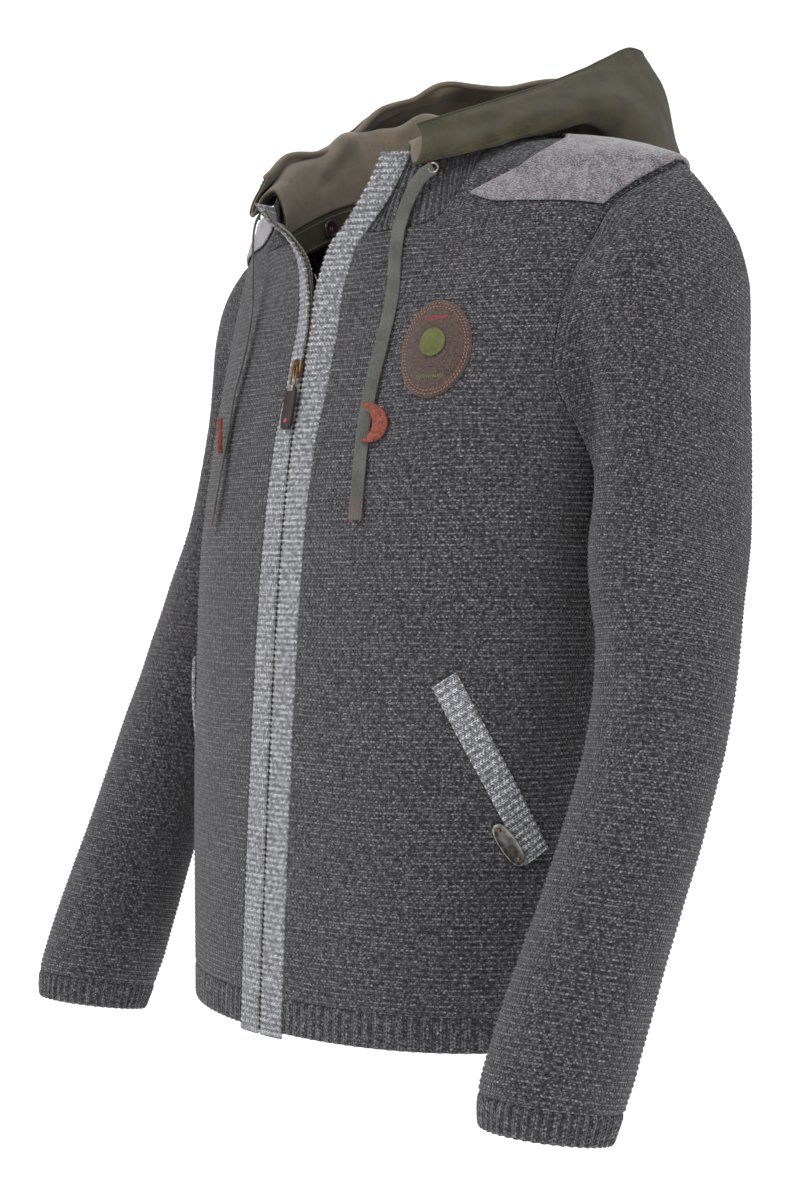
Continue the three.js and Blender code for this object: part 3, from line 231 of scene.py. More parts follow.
def circled(first, second, turn):
    """Directions at those turns of a circle, from its first axis towards its second."""
    return first[..., None, :] * np.cos(turn)[:, None] + second[..., None, :] * np.sin(turn)[:, None]


def squared(turn, corners):
    """Cosine and sine pushed out towards a square: a superellipse whose power is corners."""
    cos, sin = np.cos(turn), np.sin(turn)
    return np.sign(cos) * np.abs(cos) ** (2 / corners), np.sign(sin) * np.abs(sin) ** (2 / corners)


def outline(half_wide, half_deep, count, corners=4.0):
    """A rounded oblong of count points, as their places across and through it."""
    wide, deep = squared(turns(count, 0.5), corners)
    return half_wide * wide, half_deep * deep


def piece(name, made, finish, nodes=(), body="garment"):
    """Puts points in millimetres, faces and patterns into a mesh that faces outwards."""
    points, faces, patterns = made
    mesh = bpy.data.meshes.new(name)
    mesh.from_pydata((points * MM).tolist(), [], faces)
    if patterns is not None:
        mesh.uv_layers.new(name="stitch").data.foreach_set("uv", patterns.astype(np.float32).ravel())
    mesh.calc_loop_triangles()
    corners = np.empty(len(mesh.loop_triangles) * 3, np.int32)
    mesh.loop_triangles.foreach_get("vertices", corners)
    a, b, c = (points[corners.reshape(-1, 3)[:, k]] for k in range(3))
    if (a * np.cross(b, c)).sum() < 0:
        mesh.flip_normals()
    mesh.polygons.foreach_set("use_smooth", np.ones(len(mesh.polygons), bool))
    mesh.materials.append(finish)
    thing = bpy.data.objects.new(name, mesh)
    bpy.context.scene.collection.objects.link(thing)
    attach(thing, body)
    if nodes:
        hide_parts(*nodes)
    print(name, len(mesh.loop_triangles), "triangles")
    return thing


def seed(sides=5, shoulder=0.28):
    """A small spindle along its own first axis, from -0.5 to 0.5, with a ring at each shoulder."""
    turn = turns(sides)
    radius = 0.5 * np.sqrt(1 - (shoulder / 0.55) ** 2)
    rings = [stacked(place, radius * np.cos(turn), radius * np.sin(turn)) for place in (-shoulder, shoulder)]
    faces = cells(2, sides, 1, True)[0].tolist()
    last = 2 * sides + 1
    for i in range(sides):
        after = (i + 1) % sides
        faces += [[0, 1 + after, 1 + i], [last, last - sides + i, last - sides + after]]
    return np.concatenate([[[-0.5, 0.0, 0.0]], *rings, [[0.5, 0.0, 0.0]]]), faces


def spindles(at, x, y, z):
    """A seed at each of many places, whose own axes x, y and z may vary from one to the next."""
    points, faces = seed()
    reach = sum(points[None, :, k, None] * axis[:, None, :] for k, axis in enumerate((x, y, z)))
    shift = (np.arange(len(at)) * len(points))[:, None]
    made = []
    for face in faces:
        made += (shift + np.array(face)[None, :]).tolist()
    return (at[:, None, :] + reach).reshape(-1, 3), made, None


def stitches(line, normals, pitch, size, lean=0.0):
    """Sewn stitches along a line: spindles about pitch apart, size = length, width and height, each
    turned by lean from the line's own direction within the cloth."""
    count = max(2, int(distances(line)[-1] / pitch))
    both, _ = evenly(np.concatenate([line, normals], axis=1), count)
    at, out = both[:, :3], unit(both[:, 3:])
    ahead = unit(np.gradient(at, axis=0))
    aside = unit(np.cross(out, ahead))
    turned = ahead * np.cos(lean) + aside * np.sin(lean)
    across = unit(np.cross(out, turned))
    return spindles(at, turned * size[0], across * size[1], out * size[2])


def merged(*parts):
    """Several shapes without patterns as one."""
    points, faces, first = [], [], 0
    for part_points, part_faces, _ in parts:
        points.append(part_points)
        faces += [[corner + first for corner in face] for face in part_faces]
        first += len(part_points)
    return np.concatenate(points), faces, None


# %% [markdown]
# The form of the body is a stack of rounded oblong sections, one table row for each level. The open
# flaps of the zip pull the chest towards them, so a panel's points are moved a little where it is
# near its band. These tables and formulas are those of the CAD model, so what is drawn here lies on
# its solids.

# %% The form of the body
KNIT, BAND, FELT, CLOTH, SEAM = 2.5, 3.4, 1.8, 1.0, 0.3
HEM_TOP, HEM_BOTTOM, BAND_BOTTOM = -636.0, -661.0, -665.0
UNDERARM, CHEST, NECK_FRONT, SHOULDER_TIP = -235.0, -150.0, -78.0, -40.0
ZIP_GAP, BAND_OUTER = 2.0, 24.5
COLLAR_START = BAND_OUTER + 0.8
FLAP_REACH, SIDE_FADE, EDGE_TURN = 110.0, 25.0, 30.0
COLLAR_END = {LEFT: (-50.0, -21.0), RIGHT: (-61.0, -46.0)}

# height, middle, half width, depth in front, depth behind, squareness
BODY = [
    (-662, -43, 185, 131, 100, 2.05), (-600, -42, 188, 129, 102, 2.1), (-480, -38, 191, 127, 104, 2.25),
    (-363, -34, 193, 123, 110, 2.35), (-300, -28, 193, 122, 118, 2.45), (-235, -20, 194, 118, 125, 2.45),
    (-170, -10, 202, 112, 122, 2.3), (-110, 2, 214, 103, 105, 2.15), (-60, 14, 225, 92, 78, 2.05),
    (-40, 22, 228, 90, 64, 2.0), (-29, 20, 205, 82, 60, 2.0), (-20, 18, 176, 76, 58, 2.0),
    (-11, 14, 132, 69, 60, 2.0), (0, 8, 84, 59, 60, 2.0),
]
# height, x, y and lean of the line of the teeth
FRONT_EDGE = {
    LEFT: [
        (-667, 0, -174, 4), (-480, 0, -165, 4), (-363, -1, -157, 4), (-300, -3, -150, 5),
        (-235, -6, -139.5, 9), (-177, -8, -127, 22), (-144, -4, -124, 27), (-127, -1.5, -124, 28),
        (-108, 0.7, -120, 30), (-86, 5, -114, 31), (-72, 15, -109, 32), (-54, 29, -105, 35),
        (-38, 38, -101, 39), (-20, 46, -98, 43),
    ],
    RIGHT: [
        (-667, 0, -174, 4), (-480, 0, -165, 4), (-363, -1, -157, 4), (-300, -3, -150, 5),
        (-235, -6, -139.5, 8), (-177, -8, -127, 15), (-144, -4, -124.5, 20), (-127, -2, -125, 22),
        (-108, -3.5, -126, 26), (-95, -9, -126, 31), (-84, -19, -126, 38), (-72, -35, -126, 48),
        (-62, -53, -126, 58), (-51, -65, -126, 70), (-46, -70, -126, 76),
    ],
}
# height, angle in front, angle behind
ARMHOLE = [
    (-235, 90, 90), (-225, 84.5, 95.5), (-205, 78, 101), (-177, 75.3, 103.5), (-150, 75.3, 104),
    (-119, 76.5, 103), (-97, 78.5, 101), (-70, 81, 98.5), (-55, 85, 95), (-40, 90, 90),
]
# share of the panel's width, angle, height
NECK_SEAM = [
    (0, 20, -78), (0.2, 29, -78.5), (0.36, 38, -78), (0.5, 46, -75), (0.62, 50.5, -63),
    (0.72, 52.5, -47), (0.8, 56, -32), (0.88, 63, -17), (0.94, 72, -9), (1, 90, -4),
]
NECK_SEAM_BACK = [(90, -4), (100, -4.5), (112, -8), (130, -13), (150, -17), (180, -20)]
SHOULDER_INNER = -4.0

body_middle, body_half, body_front, body_back, body_power = (curve(BODY, k) for k in range(1, 6))
armhole_front, armhole_back = curve(ARMHOLE, 1), curve(ARMHOLE, 2)
neck_angle, neck_height = curve(NECK_SEAM, 1), curve(NECK_SEAM, 2)
neck_back_height = curve(NECK_SEAM_BACK, 1)
flap = {side: [curve(rows, k) for k in (1, 2, 3)] for side, rows in FRONT_EDGE.items()}


def form_point(angle, z):
    """Where a ray at that angle from centre front meets a section: its radius r solves
    (r sin / half) to the power p + (r cos / depth) to the power p = 1."""
    sin, cos = np.sin(np.radians(angle)), np.cos(np.radians(angle))
    depth = np.where(cos > 0, body_front(z), body_back(z))
    power = body_power(z)
    radius = ((np.abs(sin) / body_half(z)) ** power + (np.abs(cos) / depth) ** power) ** (-1 / power)
    return stacked(radius * sin, body_middle(z) - radius * cos, z)


def flap_point(side, z, along):
    """A point of a flap: the line of the teeth moved back along the band by some millimetres."""
    x, y, lean = (part(z) for part in flap[side])
    return stacked(x + side * along * np.cos(np.radians(lean)), y + along * np.sin(np.radians(lean)), z)


def flap_face(side, z):
    """The direction in which a flap faces."""
    lean = np.radians(flap[side][2](z))
    return stacked(side * np.sin(lean), -np.cos(lean), 0 * z)


def edge_angles(side):
    """The angle at which a panel meets its band, for each millimetre of height, by halving."""
    levels = np.arange(-670.0, NECK_FRONT + 0.5, 1.0)
    x = np.abs(flap_point(side, levels, BAND_OUTER + SEAM)[..., 0])
    low, high = np.zeros_like(levels), np.full_like(levels, 60.0)
    for _ in range(30):
        middle = (low + high) / 2
        short = form_point(middle, levels)[..., 0] < x
        low, high = np.where(short, middle, low), np.where(short, high, middle)
    return lambda z: np.interp(np.minimum(z, NECK_FRONT), levels, low)


edge_angle = {side: edge_angles(side) for side in (LEFT, RIGHT)}


def body_point(side, angle, z):
    """The body form with the open flap's pull on the chest."""
    angle, z = np.broadcast_arrays(np.asarray(angle, float), np.asarray(z, float))
    point = form_point(side * angle, z)
    level = np.minimum(z, NECK_FRONT)
    edge = flap_point(side, level, BAND_OUTER)
    reach = 1 - (np.abs(point[..., 0]) - np.abs(edge[..., 0])) / FLAP_REACH
    pull = smooth(reach) * smooth((90 - angle) / SIDE_FADE)
    point[..., 1] += (edge[..., 1] - form_point(side * edge_angle[side](z), level)[..., 1]) * pull
    return point


def body_normal(side, angle, z):
    """The direction off the form, from two small steps on it, turned to the band's near its edge."""
    angle, z = np.broadcast_arrays(np.asarray(angle, float), np.asarray(z, float))
    turn = body_point(side, angle + 0.2, z) - body_point(side, angle - 0.2, z)
    top = np.minimum(z + 0.4, -0.1)
    rise = body_point(side, angle, top) - body_point(side, angle, top - 0.8)
    normal = unit(np.cross(turn, rise) * side)
    level = np.minimum(z, NECK_FRONT)
    beyond = np.abs(body_point(side, angle, z)[..., 0] - flap_point(side, level, BAND_OUTER)[..., 0])
    share = np.where((angle >= 90) | (z > NECK_FRONT + 1), 0.0, 1 - smooth(beyond / EDGE_TURN))
    return unit(lerp(normal, flap_face(side, level), share[..., None]))


def on_body(side, angle, z, out=0.0):
    """A point that stands off the form by out."""
    return body_point(side, angle, z) + body_normal(side, angle, z) * np.asarray(out)[..., None]


def beside(side, angle, z, across, up, out):
    """The same, after moving some millimetres round the body and up."""
    step = body_point(side, angle + 0.5, z) - body_point(side, angle - 0.5, z)
    return on_body(side, angle + across / np.linalg.norm(step, axis=-1), z + up, out)


# %% [markdown]
# A finish is a small network of nodes. Wool is never one colour: light and dark fibres are spun into
# each yarn. Each stitch is a small dome, and shade is painted dark round its foot. The class below
# keeps such networks short. Patterns that follow the knitting read the piece's own pattern coordinates,
# which are millimetres across and up the cloth, and everything else reads the place in the object.

# %% Finishes
RIB_UNIT, BAND_RIB = 8.0, 4.3


class Finish:
    """A material under construction. Each call adds a node and gives back its output."""

    def __init__(self, name, roughness=0.9, metallic=0.0, sheen=0.0, specular=0.25):
        self.material = bpy.data.materials.new(name)
        self.material.use_nodes = True
        self.tree = self.material.node_tree
        self.shader = self.tree.nodes["Principled BSDF"]
        plain = {"Roughness": roughness, "Metallic": metallic, "Sheen Weight": sheen}
        for socket, value in (plain | {"Sheen Roughness": 0.6, "Specular IOR Level": specular}).items():
            self.shader.inputs[socket].default_value = value

    def plug(self, socket, value):
        if isinstance(value, bpy.types.NodeSocket):
            self.tree.links.new(value, socket)
        else:
            socket.default_value = value

    def add(self, kind, sockets, output=0, **settings):
        node = self.tree.nodes.new("ShaderNode" + kind)
        for key, value in settings.items():
            setattr(node, key, value)
        for socket, value in sockets.items():
            self.plug(node.inputs[socket], value)
        return node.outputs[output]

    def math(self, operation, *values):
        return self.add("Math", dict(enumerate(values)), operation=operation)

    def plus(self, a, b):
        return self.math("ADD", a, b)

    def minus(self, a, b):
        return self.math("SUBTRACT", a, b)

    def times(self, a, b):
        return self.math("MULTIPLY", a, b)

    def place(self):
        """The place in the object, in millimetres."""
        metres = self.add("TexCoord", {}, "Object")
        return self.add("VectorMath", {0: metres, 3: 1 / MM}, operation="SCALE")

    def pattern(self):
        """Millimetres across the cloth, and up it."""
        both = self.add("UVMap", {}, uv_map="stitch")
        return [self.add("SeparateXYZ", {0: both}, k) for k in (0, 1)]

    def noise(self, size, detail=2.0, stretch=None):
        """Cloudy noise whose lumps are about size millimetres, from 0 to 1."""
        at = self.place()
        if stretch:
            at = self.add("VectorMath", {0: at, 1: stretch}, operation="MULTIPLY")
        return self.add("TexNoise", {"Vector": at, "Scale": 1 / size, "Detail": detail}, "Fac")

    def ramp(self, value, *stops):
        """Colours or greys at stops from 0 to 1."""
        node = self.tree.nodes.new("ShaderNodeValToRGB")
        self.plug(node.inputs[0], value)
        for k, (at, colour) in enumerate(stops):
            mark = node.color_ramp.elements[k] if k < 2 else node.color_ramp.elements.new(at)
            mark.position = at
            mark.color = colour
        return node.outputs[0]

    def mix(self, share, a, b):
        return self.add("Mix", {0: share, 6: a, 7: b}, 2, data_type="RGBA")

    def bump(self, *heights):
        """Heights with their depth in millimetres, one on another, as the shader's normal."""
        normal = None
        for height, depth in heights:
            sockets = {"Height": height, "Distance": depth * MM, "Strength": 1.0}
            if normal is not None:
                sockets["Normal"] = normal
            normal = self.add("Bump", sockets)
        self.tree.links.new(normal, self.shader.inputs["Normal"])

    def done(self, colour, roughness=None):
        self.plug(self.shader.inputs["Base Color"], colour)
        if roughness is not None:
            self.plug(self.shader.inputs["Roughness"], roughness)
        return self.material


def shade(red, green, blue):
    """A colour as four linear numbers, from 0 to 255 as a screen counts them."""
    values = np.array([red, green, blue]) / 255
    linear = np.where(values <= 0.04045, values / 12.92, ((values + 0.055) / 1.055) ** 2.4)
    return (*[float(value) for value in linear], 1.0)


def knitted(name, wide, high, colours, ribbed=False, depth=0.9):
    """Wool in stitches: domes of wide by high millimetres, in bricks for moss stitch, or as the
    leaning legs of a rib whose crests stand wide apart. colours runs from the painted shade at a
    stitch's foot, through the yarn's dark, middle and light shades, to its light fleck. The painted
    shade also darkens the sunk purl columns of a rib and the valleys between moss ridges."""
    wool = Finish(name, roughness=0.95, sheen=0.25, specular=0.15)
    across, level = wool.pattern()
    loose = wool.minus(wool.noise(4.0), 0.5)
    across = wool.plus(across, wool.times(loose, 1.3))
    up = wool.plus(level, wool.times(wool.minus(wool.noise(5.5), 0.5), 1.1))
    course = wool.plus(wool.math("DIVIDE", up, high), 0.5)
    column = wool.math("DIVIDE", across, wide)
    if ribbed:
        centred = wool.math("FRACT", wool.plus(column, 0.5))
        side = wool.math("ABSOLUTE", wool.minus(centred, 0.5))
        course = wool.plus(course, wool.times(side, -1.6))
        column = wool.times(column, 4.0)
    else:
        odd = wool.math("FLOORED_MODULO", wool.math("FLOOR", course), 2.0)
        column = wool.plus(column, wool.times(odd, 0.5))
    parts = [wool.minus(wool.math("FRACT", part), 0.5) for part in (column, course)]
    squares = [wool.times(wool.times(part, part), 3.1) for part in parts]
    fall = wool.minus(wool.minus(1.0, squares[0]), squares[1])
    dome = wool.math("POWER", wool.math("MAXIMUM", fall, 0.0), 0.6)
    fibre = wool.noise(0.7, 3.0)
    melange = wool.noise(2.6, 4.0)
    yarn = wool.ramp(melange, (0.4, colours[1]), (0.61, colours[3]), (0.5, colours[2]))
    fleck = wool.ramp(wool.noise(1.8, 1.5), (0.57, (0, 0, 0, 1)), (0.66, (1, 1, 1, 1)))
    yarn = wool.mix(wool.times(fleck, 0.65), yarn, colours[4])
    tint = wool.ramp(wool.noise(45.0, 2.0), (0.35, shade(128, 124, 118)), (0.65, shade(124, 127, 134)))
    yarn = wool.add("Mix", {0: 0.35, 6: yarn, 7: tint}, 2, data_type="RGBA", blend_type="OVERLAY")
    # Painted light and shade: bright on each stitch's dome and painted shade at its foot, with random fibre
    # tone mixed in.
    painted_light_and_fibre = wool.plus(wool.times(dome, 1.55), wool.times(fibre, 0.9))
    painted_light_and_fibre = wool.minus(painted_light_and_fibre, 0.75)
    if ribbed:
        # Painted shade in the sunk purl columns between the ribs.
        painted_light_and_fibre = wool.times(painted_light_and_fibre, wool.minus(1.25, wool.times(side, 1.9)))
    else:
        # Painted shade in the valleys between the modelled ridges, lighter on their crests.
        wave = wool.math("COSINE", wool.times(level, 2 * np.pi / (2 * high)))
        painted_light_and_fibre = wool.times(painted_light_and_fibre, wool.plus(wool.times(wave, 0.25), 0.85))
    painted_light_and_fibre = wool.math("MAXIMUM", wool.math("MINIMUM", painted_light_and_fibre, 1.0), 0.0)
    wool.bump((dome, depth), (fibre, 0.35))
    # The colour runs from the painted shade colour to the yarn by that share.
    return wool.done(wool.mix(painted_light_and_fibre, colours[0], yarn))


# The first colour of each palette is painted shade, for a stitch's foot and the valleys between ridges. The
# others are the yarn's own shades.
charcoal = [shade(*c) for c in ((11, 11, 13), (33, 32, 35), (73, 71, 76), (122, 119, 125), (182, 180, 186))]
pale = [shade(*c) for c in ((70, 70, 74), (138, 139, 144), (196, 197, 202), (230, 231, 235), (248, 249, 251))]
charcoal_moss = knitted("charcoal_moss_stitch", 3.0, 1.9, charcoal)
charcoal_rib = knitted("charcoal_rib", RIB_UNIT, 2.6, charcoal, ribbed=True)
pale_rib = knitted("pale_rib", BAND_RIB, 2.4, pale, ribbed=True, depth=0.7)

felt = Finish("brushed_felt", roughness=1.0, sheen=0.5, specular=0.1)
felt_fibre = felt.noise(1.4, 5.0, (1.0, 1.0, 2.2))
felt_cloud = felt.noise(9.0, 4.0)
felt_colour = felt.ramp(
    felt_fibre, (0.42, shade(54, 51, 54)), (0.59, shade(166, 162, 167)), (0.5, shade(102, 99, 102)),
)
felt_patch = felt.ramp(felt_cloud, (0.4, shade(74, 71, 75)), (0.6, shade(132, 129, 134)))
felt.bump((felt_cloud, 0.8), (felt_fibre, 0.5))
felt_finish = felt.done(felt.mix(0.4, felt_colour, felt_patch))


def woven(name, dark, light, thread=0.6, slub=3.0, roughness=0.85, sheen=0.15, twill=0.0, depth=0.12):
    """Cloth with a fine weave: threads cross as two rows of waves, with a few thicker ones."""
    cloth = Finish(name, roughness=roughness, sheen=sheen, specular=0.2)
    across, up = cloth.pattern()
    leaning = cloth.plus(across, cloth.times(up, twill))
    waves = [cloth.math("SINE", cloth.times(part, 2 * np.pi / thread)) for part in (leaning, up)]
    weave = cloth.times(waves[0], waves[1])
    worn = cloth.noise(slub * 6, 4.0)
    grain = cloth.noise(0.9, 3.0)
    tone = cloth.plus(cloth.times(worn, 0.5), cloth.times(grain, 0.5))
    cloth.bump((cloth.plus(weave, cloth.times(grain, 1.5)), depth), (worn, 0.5))
    return cloth.done(cloth.ramp(tone, (0.36, dark), (0.64, light)))


olive_cloth = woven("olive_canvas", shade(42, 38, 22), shade(80, 73, 47))
olive_dark = woven("olive_piping", shade(44, 44, 29), shade(68, 67, 45))
taupe_cloth = woven(
    "taupe_lining", shade(86, 76, 62), shade(122, 109, 91), roughness=0.55, sheen=0.3, depth=0.04,
)
facing_cloth = woven("grey_green_twill", shade(90, 96, 90), shade(116, 122, 114), thread=1.1, twill=1.0)
tape_cloth = woven(
    "herringbone_tape", shade(74, 78, 73), shade(110, 113, 106), thread=1.3, twill=0.8, depth=0.25,
)


def thread_finish(name, dark, light):
    """Sewing thread: fine, a little shiny, in two close shades."""
    thread = Finish(name, roughness=0.55, sheen=0.2)
    thread.bump((thread.noise(0.25, 2.0), 0.05))
    return thread.done(thread.ramp(thread.noise(1.2, 2.0), (0.35, dark), (0.65, light)))


red_thread = thread_finish("red_thread", shade(150, 38, 48), shade(190, 74, 84))
rose_thread = thread_finish("rose_brown_thread", shade(112, 78, 74), shade(150, 112, 106))
olive_thread = thread_finish("olive_thread", shade(54, 50, 32), shade(84, 80, 56))
copper_thread = thread_finish("copper_thread", shade(128, 88, 66), shade(176, 128, 98))
moss_thread = thread_finish("moss_thread", shade(92, 94, 44), shade(132, 134, 70))
pale_thread = thread_finish("pale_thread", shade(150, 152, 140), shade(186, 188, 176))


def metal_finish(name, dark, light, roughness, grain):
    """Old metal: brighter where it is rubbed, with fine scratches."""
    metal = Finish(name, roughness=roughness, metallic=1.0, specular=0.5)
    rubbed = metal.noise(grain, 4.0)
    scratch = metal.noise(0.4, 2.0, (1.0, 1.0, 0.12))
    metal.bump((scratch, 0.04))
    rough = metal.plus(metal.times(rubbed, 0.25), roughness - 0.12)
    return metal.done(metal.ramp(rubbed, (0.35, dark), (0.65, light)), rough)


brass_metal = metal_finish("old_brass", shade(92, 72, 48), shade(150, 120, 84), 0.38, 1.5)
steel_metal = metal_finish("dull_steel", shade(120, 118, 112), shade(168, 166, 160), 0.36, 3.0)

rubber = Finish("brown_rubber", roughness=0.5, specular=0.4)
rubber.bump((rubber.noise(0.5, 3.0), 0.06))
rubber_finish = rubber.done(
    rubber.ramp(rubber.noise(4.0), (0.35, shade(38, 27, 25)), (0.65, shade(54, 40, 37)))
)

leather = Finish("terracotta_leather", roughness=0.62, specular=0.35)
leather_grain = leather.add("TexVoronoi", {"Vector": leather.place(), "Scale": 1.4}, "Distance")
leather.bump((leather_grain, 0.18), (leather.noise(3.0, 4.0), 0.25))
leather_tone = leather.plus(leather.times(leather_grain, 0.3), leather.noise(2.5, 4.0))
leather_finish = leather.done(
    leather.ramp(leather_tone, (0.42, shade(90, 40, 30)), (0.85, shade(152, 80, 63)))
)

horn = Finish("purple_brown_horn", roughness=0.28, specular=0.5)
horn_streak = horn.noise(2.2, 4.0, (1.0, 1.0, 0.4))
horn.bump((horn_streak, 0.05))
horn_finish = horn.done(horn.ramp(horn_streak, (0.35, shade(34, 22, 27)), (0.7, shade(66, 46, 52))))

suede = Finish("brown_suede", roughness=0.95, sheen=0.4, specular=0.15)
suede_nap = suede.noise(1.0, 4.0)
suede.bump((suede_nap, 0.2), (suede.noise(6.0, 3.0), 0.3))
suede_finish = suede.done(suede.ramp(suede_nap, (0.4, shade(36, 25, 22)), (0.6, shade(88, 66, 58))))
moss_cloth = woven("moss_cloth", shade(74, 78, 38), shade(108, 112, 60), thread=0.9)

# %% [markdown]
# Two flat woven tapes tie the hood. Each hangs from an eyelet in the hood's front edge, passes
# through a leather toggle and ends free, with its end sewn over in red. They are cords to the tools
# that read this scene, so their routes, which are the CAD model's, come before the cloth. The tape
# is one outline carried along a smooth line, and its edge stitches are small spindles of thread that
# go right through it.

# %% Drawstrings and toggles
TAPE_WIDTH, TAPE_WALL = 9.5, 1.6
STRING_ROUTE = {
    LEFT: [
        [91, -85, -37], [84, -89, -42], [76, -92, -53], [69, -97, -74], [70, -103, -98], [74, -109, -128],
        [75, -119, -161], [74, -128, -192], [74, -135, -219], [76, -141, -248], [80, -149, -291],
    ],
    RIGHT: [
        [-92, -104, -50], [-92, -108, -57], [-90, -112, -72], [-90, -112, -98], [-92, -112, -128],
        [-95, -117, -161], [-99, -124, -192], [-99, -129, -219], [-96, -138, -248], [-98, -146, -291],
    ],
}
STRING_POINTS, TAPE_SIDES = 300, 16
# a stitch's length, width and height first
EDGE_STITCH, EDGE_PITCH, EDGE_INSET, EDGE_LEAN = (3.8, 0.8, 2.1), 5.2, 3.7, 0.25
END_STITCH, END_PITCH, END_LEAN = (2.2, 1.2, 2.3), 1.5, 0.9
END_ROWS, END_HALF = (4, 8, 12, 16), 4.0
TOGGLE_LEVEL, TOGGLE_RADIUS, TOGGLE_WALL, TOGGLE_ASIDE = -222.0, 14.0, 4.0, 6.0
BITE_RADIUS, BITE_AT, HORN_TURN, BITE_TURN = 13.3, 10.5, 62.0, 114.0


def tape_frame(side, line):
    """The directions across a tape and off its face, at each point of its line."""
    ahead = unit(np.gradient(line, axis=0))
    flat = np.array([side * 0.8, 0.6, 0.0])
    across = unit(flat - ahead * (ahead @ flat)[:, None])
    return across, unit(np.cross(across, ahead) * side)


def toggle_sections(count=56, sides=14):
    """A disc with a round bite out of it, as outlines that run from one horn to the other. Each lies
    between a point of the disc's edge and a point of the bite's edge."""
    share = np.linspace(0.0, 1.0, count)
    rim_turn = np.radians(lerp(HORN_TURN, 360 - HORN_TURN, share))
    bite_turn = np.radians(lerp(BITE_TURN, 360 - BITE_TURN, share))
    rim = TOGGLE_RADIUS * stacked(np.cos(rim_turn), np.sin(rim_turn))
    bite = BITE_RADIUS * stacked(np.cos(bite_turn), np.sin(bite_turn)) + [BITE_AT, 0.0]
    wide, deep = outline(1.0, TOGGLE_WALL / 2, sides, 6.0)
    flat = (rim + bite)[:, None] / 2 + (rim - bite)[:, None] / 2 * wide[None, :, None]
    height = np.broadcast_to(deep[None, :, None] + TOGGLE_WALL / 2, flat.shape[:2] + (1,))
    return np.concatenate([flat, height], axis=2)


for side in (LEFT, RIGHT):
    name = SIDE_NAMES[side]
    route = spline(STRING_ROUTE[side], np.linspace(0, len(STRING_ROUTE[side]) - 1, 400))
    line, along = evenly(route, STRING_POINTS)
    across, out = tape_frame(side, line)
    wide, deep = outline(TAPE_WIDTH / 2, TAPE_WALL / 2, TAPE_SIDES, 5.0)
    sections = line[:, None] + across[:, None] * wide[None, :, None] + out[:, None] * deep[None, :, None]
    uv = stacked(wide[None, :] + 20.0, along[:, None])
    tape = piece(f"string_{name}", tube(sections, uv), tape_cloth, (f"drawstring_{name}",))
    dashes = []
    for edge in (-1, 1):
        run = line + across * edge * EDGE_INSET
        dashes.append(stitches(run, out, EDGE_PITCH, EDGE_STITCH, EDGE_LEAN * edge))
    for row in END_ROWS:
        run = line[-row] + across[-row] * np.linspace(-END_HALF, END_HALF, 12)[:, None]
        dashes.append(stitches(run, np.tile(out[-row], (12, 1)), END_PITCH, END_STITCH, END_LEAN))
    sewing = piece(f"string_stitches_{name}", merged(*dashes), red_thread)
    sections = toggle_sections()
    at = line[np.argmin(np.abs(line[:, 2] - TOGGLE_LEVEL))]
    facing = np.array([side * 0.6, -0.8, 0.0])
    opening = -np.array([0.8, side * 0.6, 0.0])
    middle = at + facing * 0.7 + np.array([side * TOGGLE_ASIDE, 0.0, 0.0])
    made = tube(sections @ np.stack([opening, UP, facing]) + middle, sections[..., :2])
    toggle = piece(f"toggle_{name}_leather", made, leather_finish, (f"toggle_{name}",))
    print("string", name, round(float(along[-1])), "mm long")

# %% [markdown]
# The body is three knitted panels. Moss stitch stands in level ridges, about four to the 15 mm, and
# those are modelled: every fourth row of the outer grid is the top of one. The single stitches are
# too many to model, and the finish draws them at the same pitch. A panel's rows run level up to the
# chest and then turn towards the shoulder and the neck, as a knitter shapes them.

# %% Knitted panels
RIDGE, RIDGE_HEIGHT, ROWS_PER_RIDGE = 3.8, 0.48, 4
SLEEVE_ROUND = 330.0
# outer rows to one inner row
PANEL_STEP, SLEEVE_STEP, RIB_STEP = 8, 10, 16
LOW_STEPS, HIGH_STEPS = 512, 152
PANEL_BOTTOM = HEM_TOP + SEAM / 2


def ridges(uv):
    """Level waves of the stitch rows, a little uneven, as a height off the wall."""
    tuck = 0.1 * np.sin(uv[..., 0] * 2.1 + 3 * np.sin(uv[..., 1] / 7))
    return RIDGE_HEIGHT * np.cos(2 * np.pi * uv[..., 1] / RIDGE) + tuck


def wandered(uv):
    """The pattern with rows that wander slowly by half a millimetre, as hand tension leaves them."""
    turn = 2 * np.pi * uv[..., 0] / SLEEVE_ROUND
    uv[..., 1] += 0.5 * np.sin(2 * turn) + 0.4 * np.sin(uv[..., 1] / 41 + 3 * turn)
    return uv


def grid_normals(grid, ring=False):
    """Directions off a grid, from the neighbours of each point."""
    if ring:
        across = np.roll(grid, -1, axis=1) - np.roll(grid, 1, axis=1)
    else:
        across = np.gradient(grid, axis=1)
    return unit(np.cross(across, np.gradient(grid, axis=0)))


def pattern_of(grid, low_rows=0, ring_width=0.0):
    """Millimetres across and up a grid: across by the mean length of its rows, up by each column's
    own length, but level with the first column over the low rows."""
    rows, columns = grid.shape[:2]
    up = distances(grid)
    if low_rows:
        level = np.broadcast_to((grid[:low_rows, :1, 2] - grid[0, 0, 2]), (low_rows, columns))
        up = np.concatenate([level, up[low_rows:] - up[low_rows - 1] + level[-1]], axis=0)
    steps = np.linalg.norm(np.diff(grid, axis=1), axis=-1).mean(axis=0)
    across = np.concatenate([[0.0], np.cumsum(steps)])
    if ring_width:
        across = np.linspace(0.0, ring_width, columns + 1)
        up = np.concatenate([up, up[:, :1]], axis=1)
    return stacked(across[None, :], up)


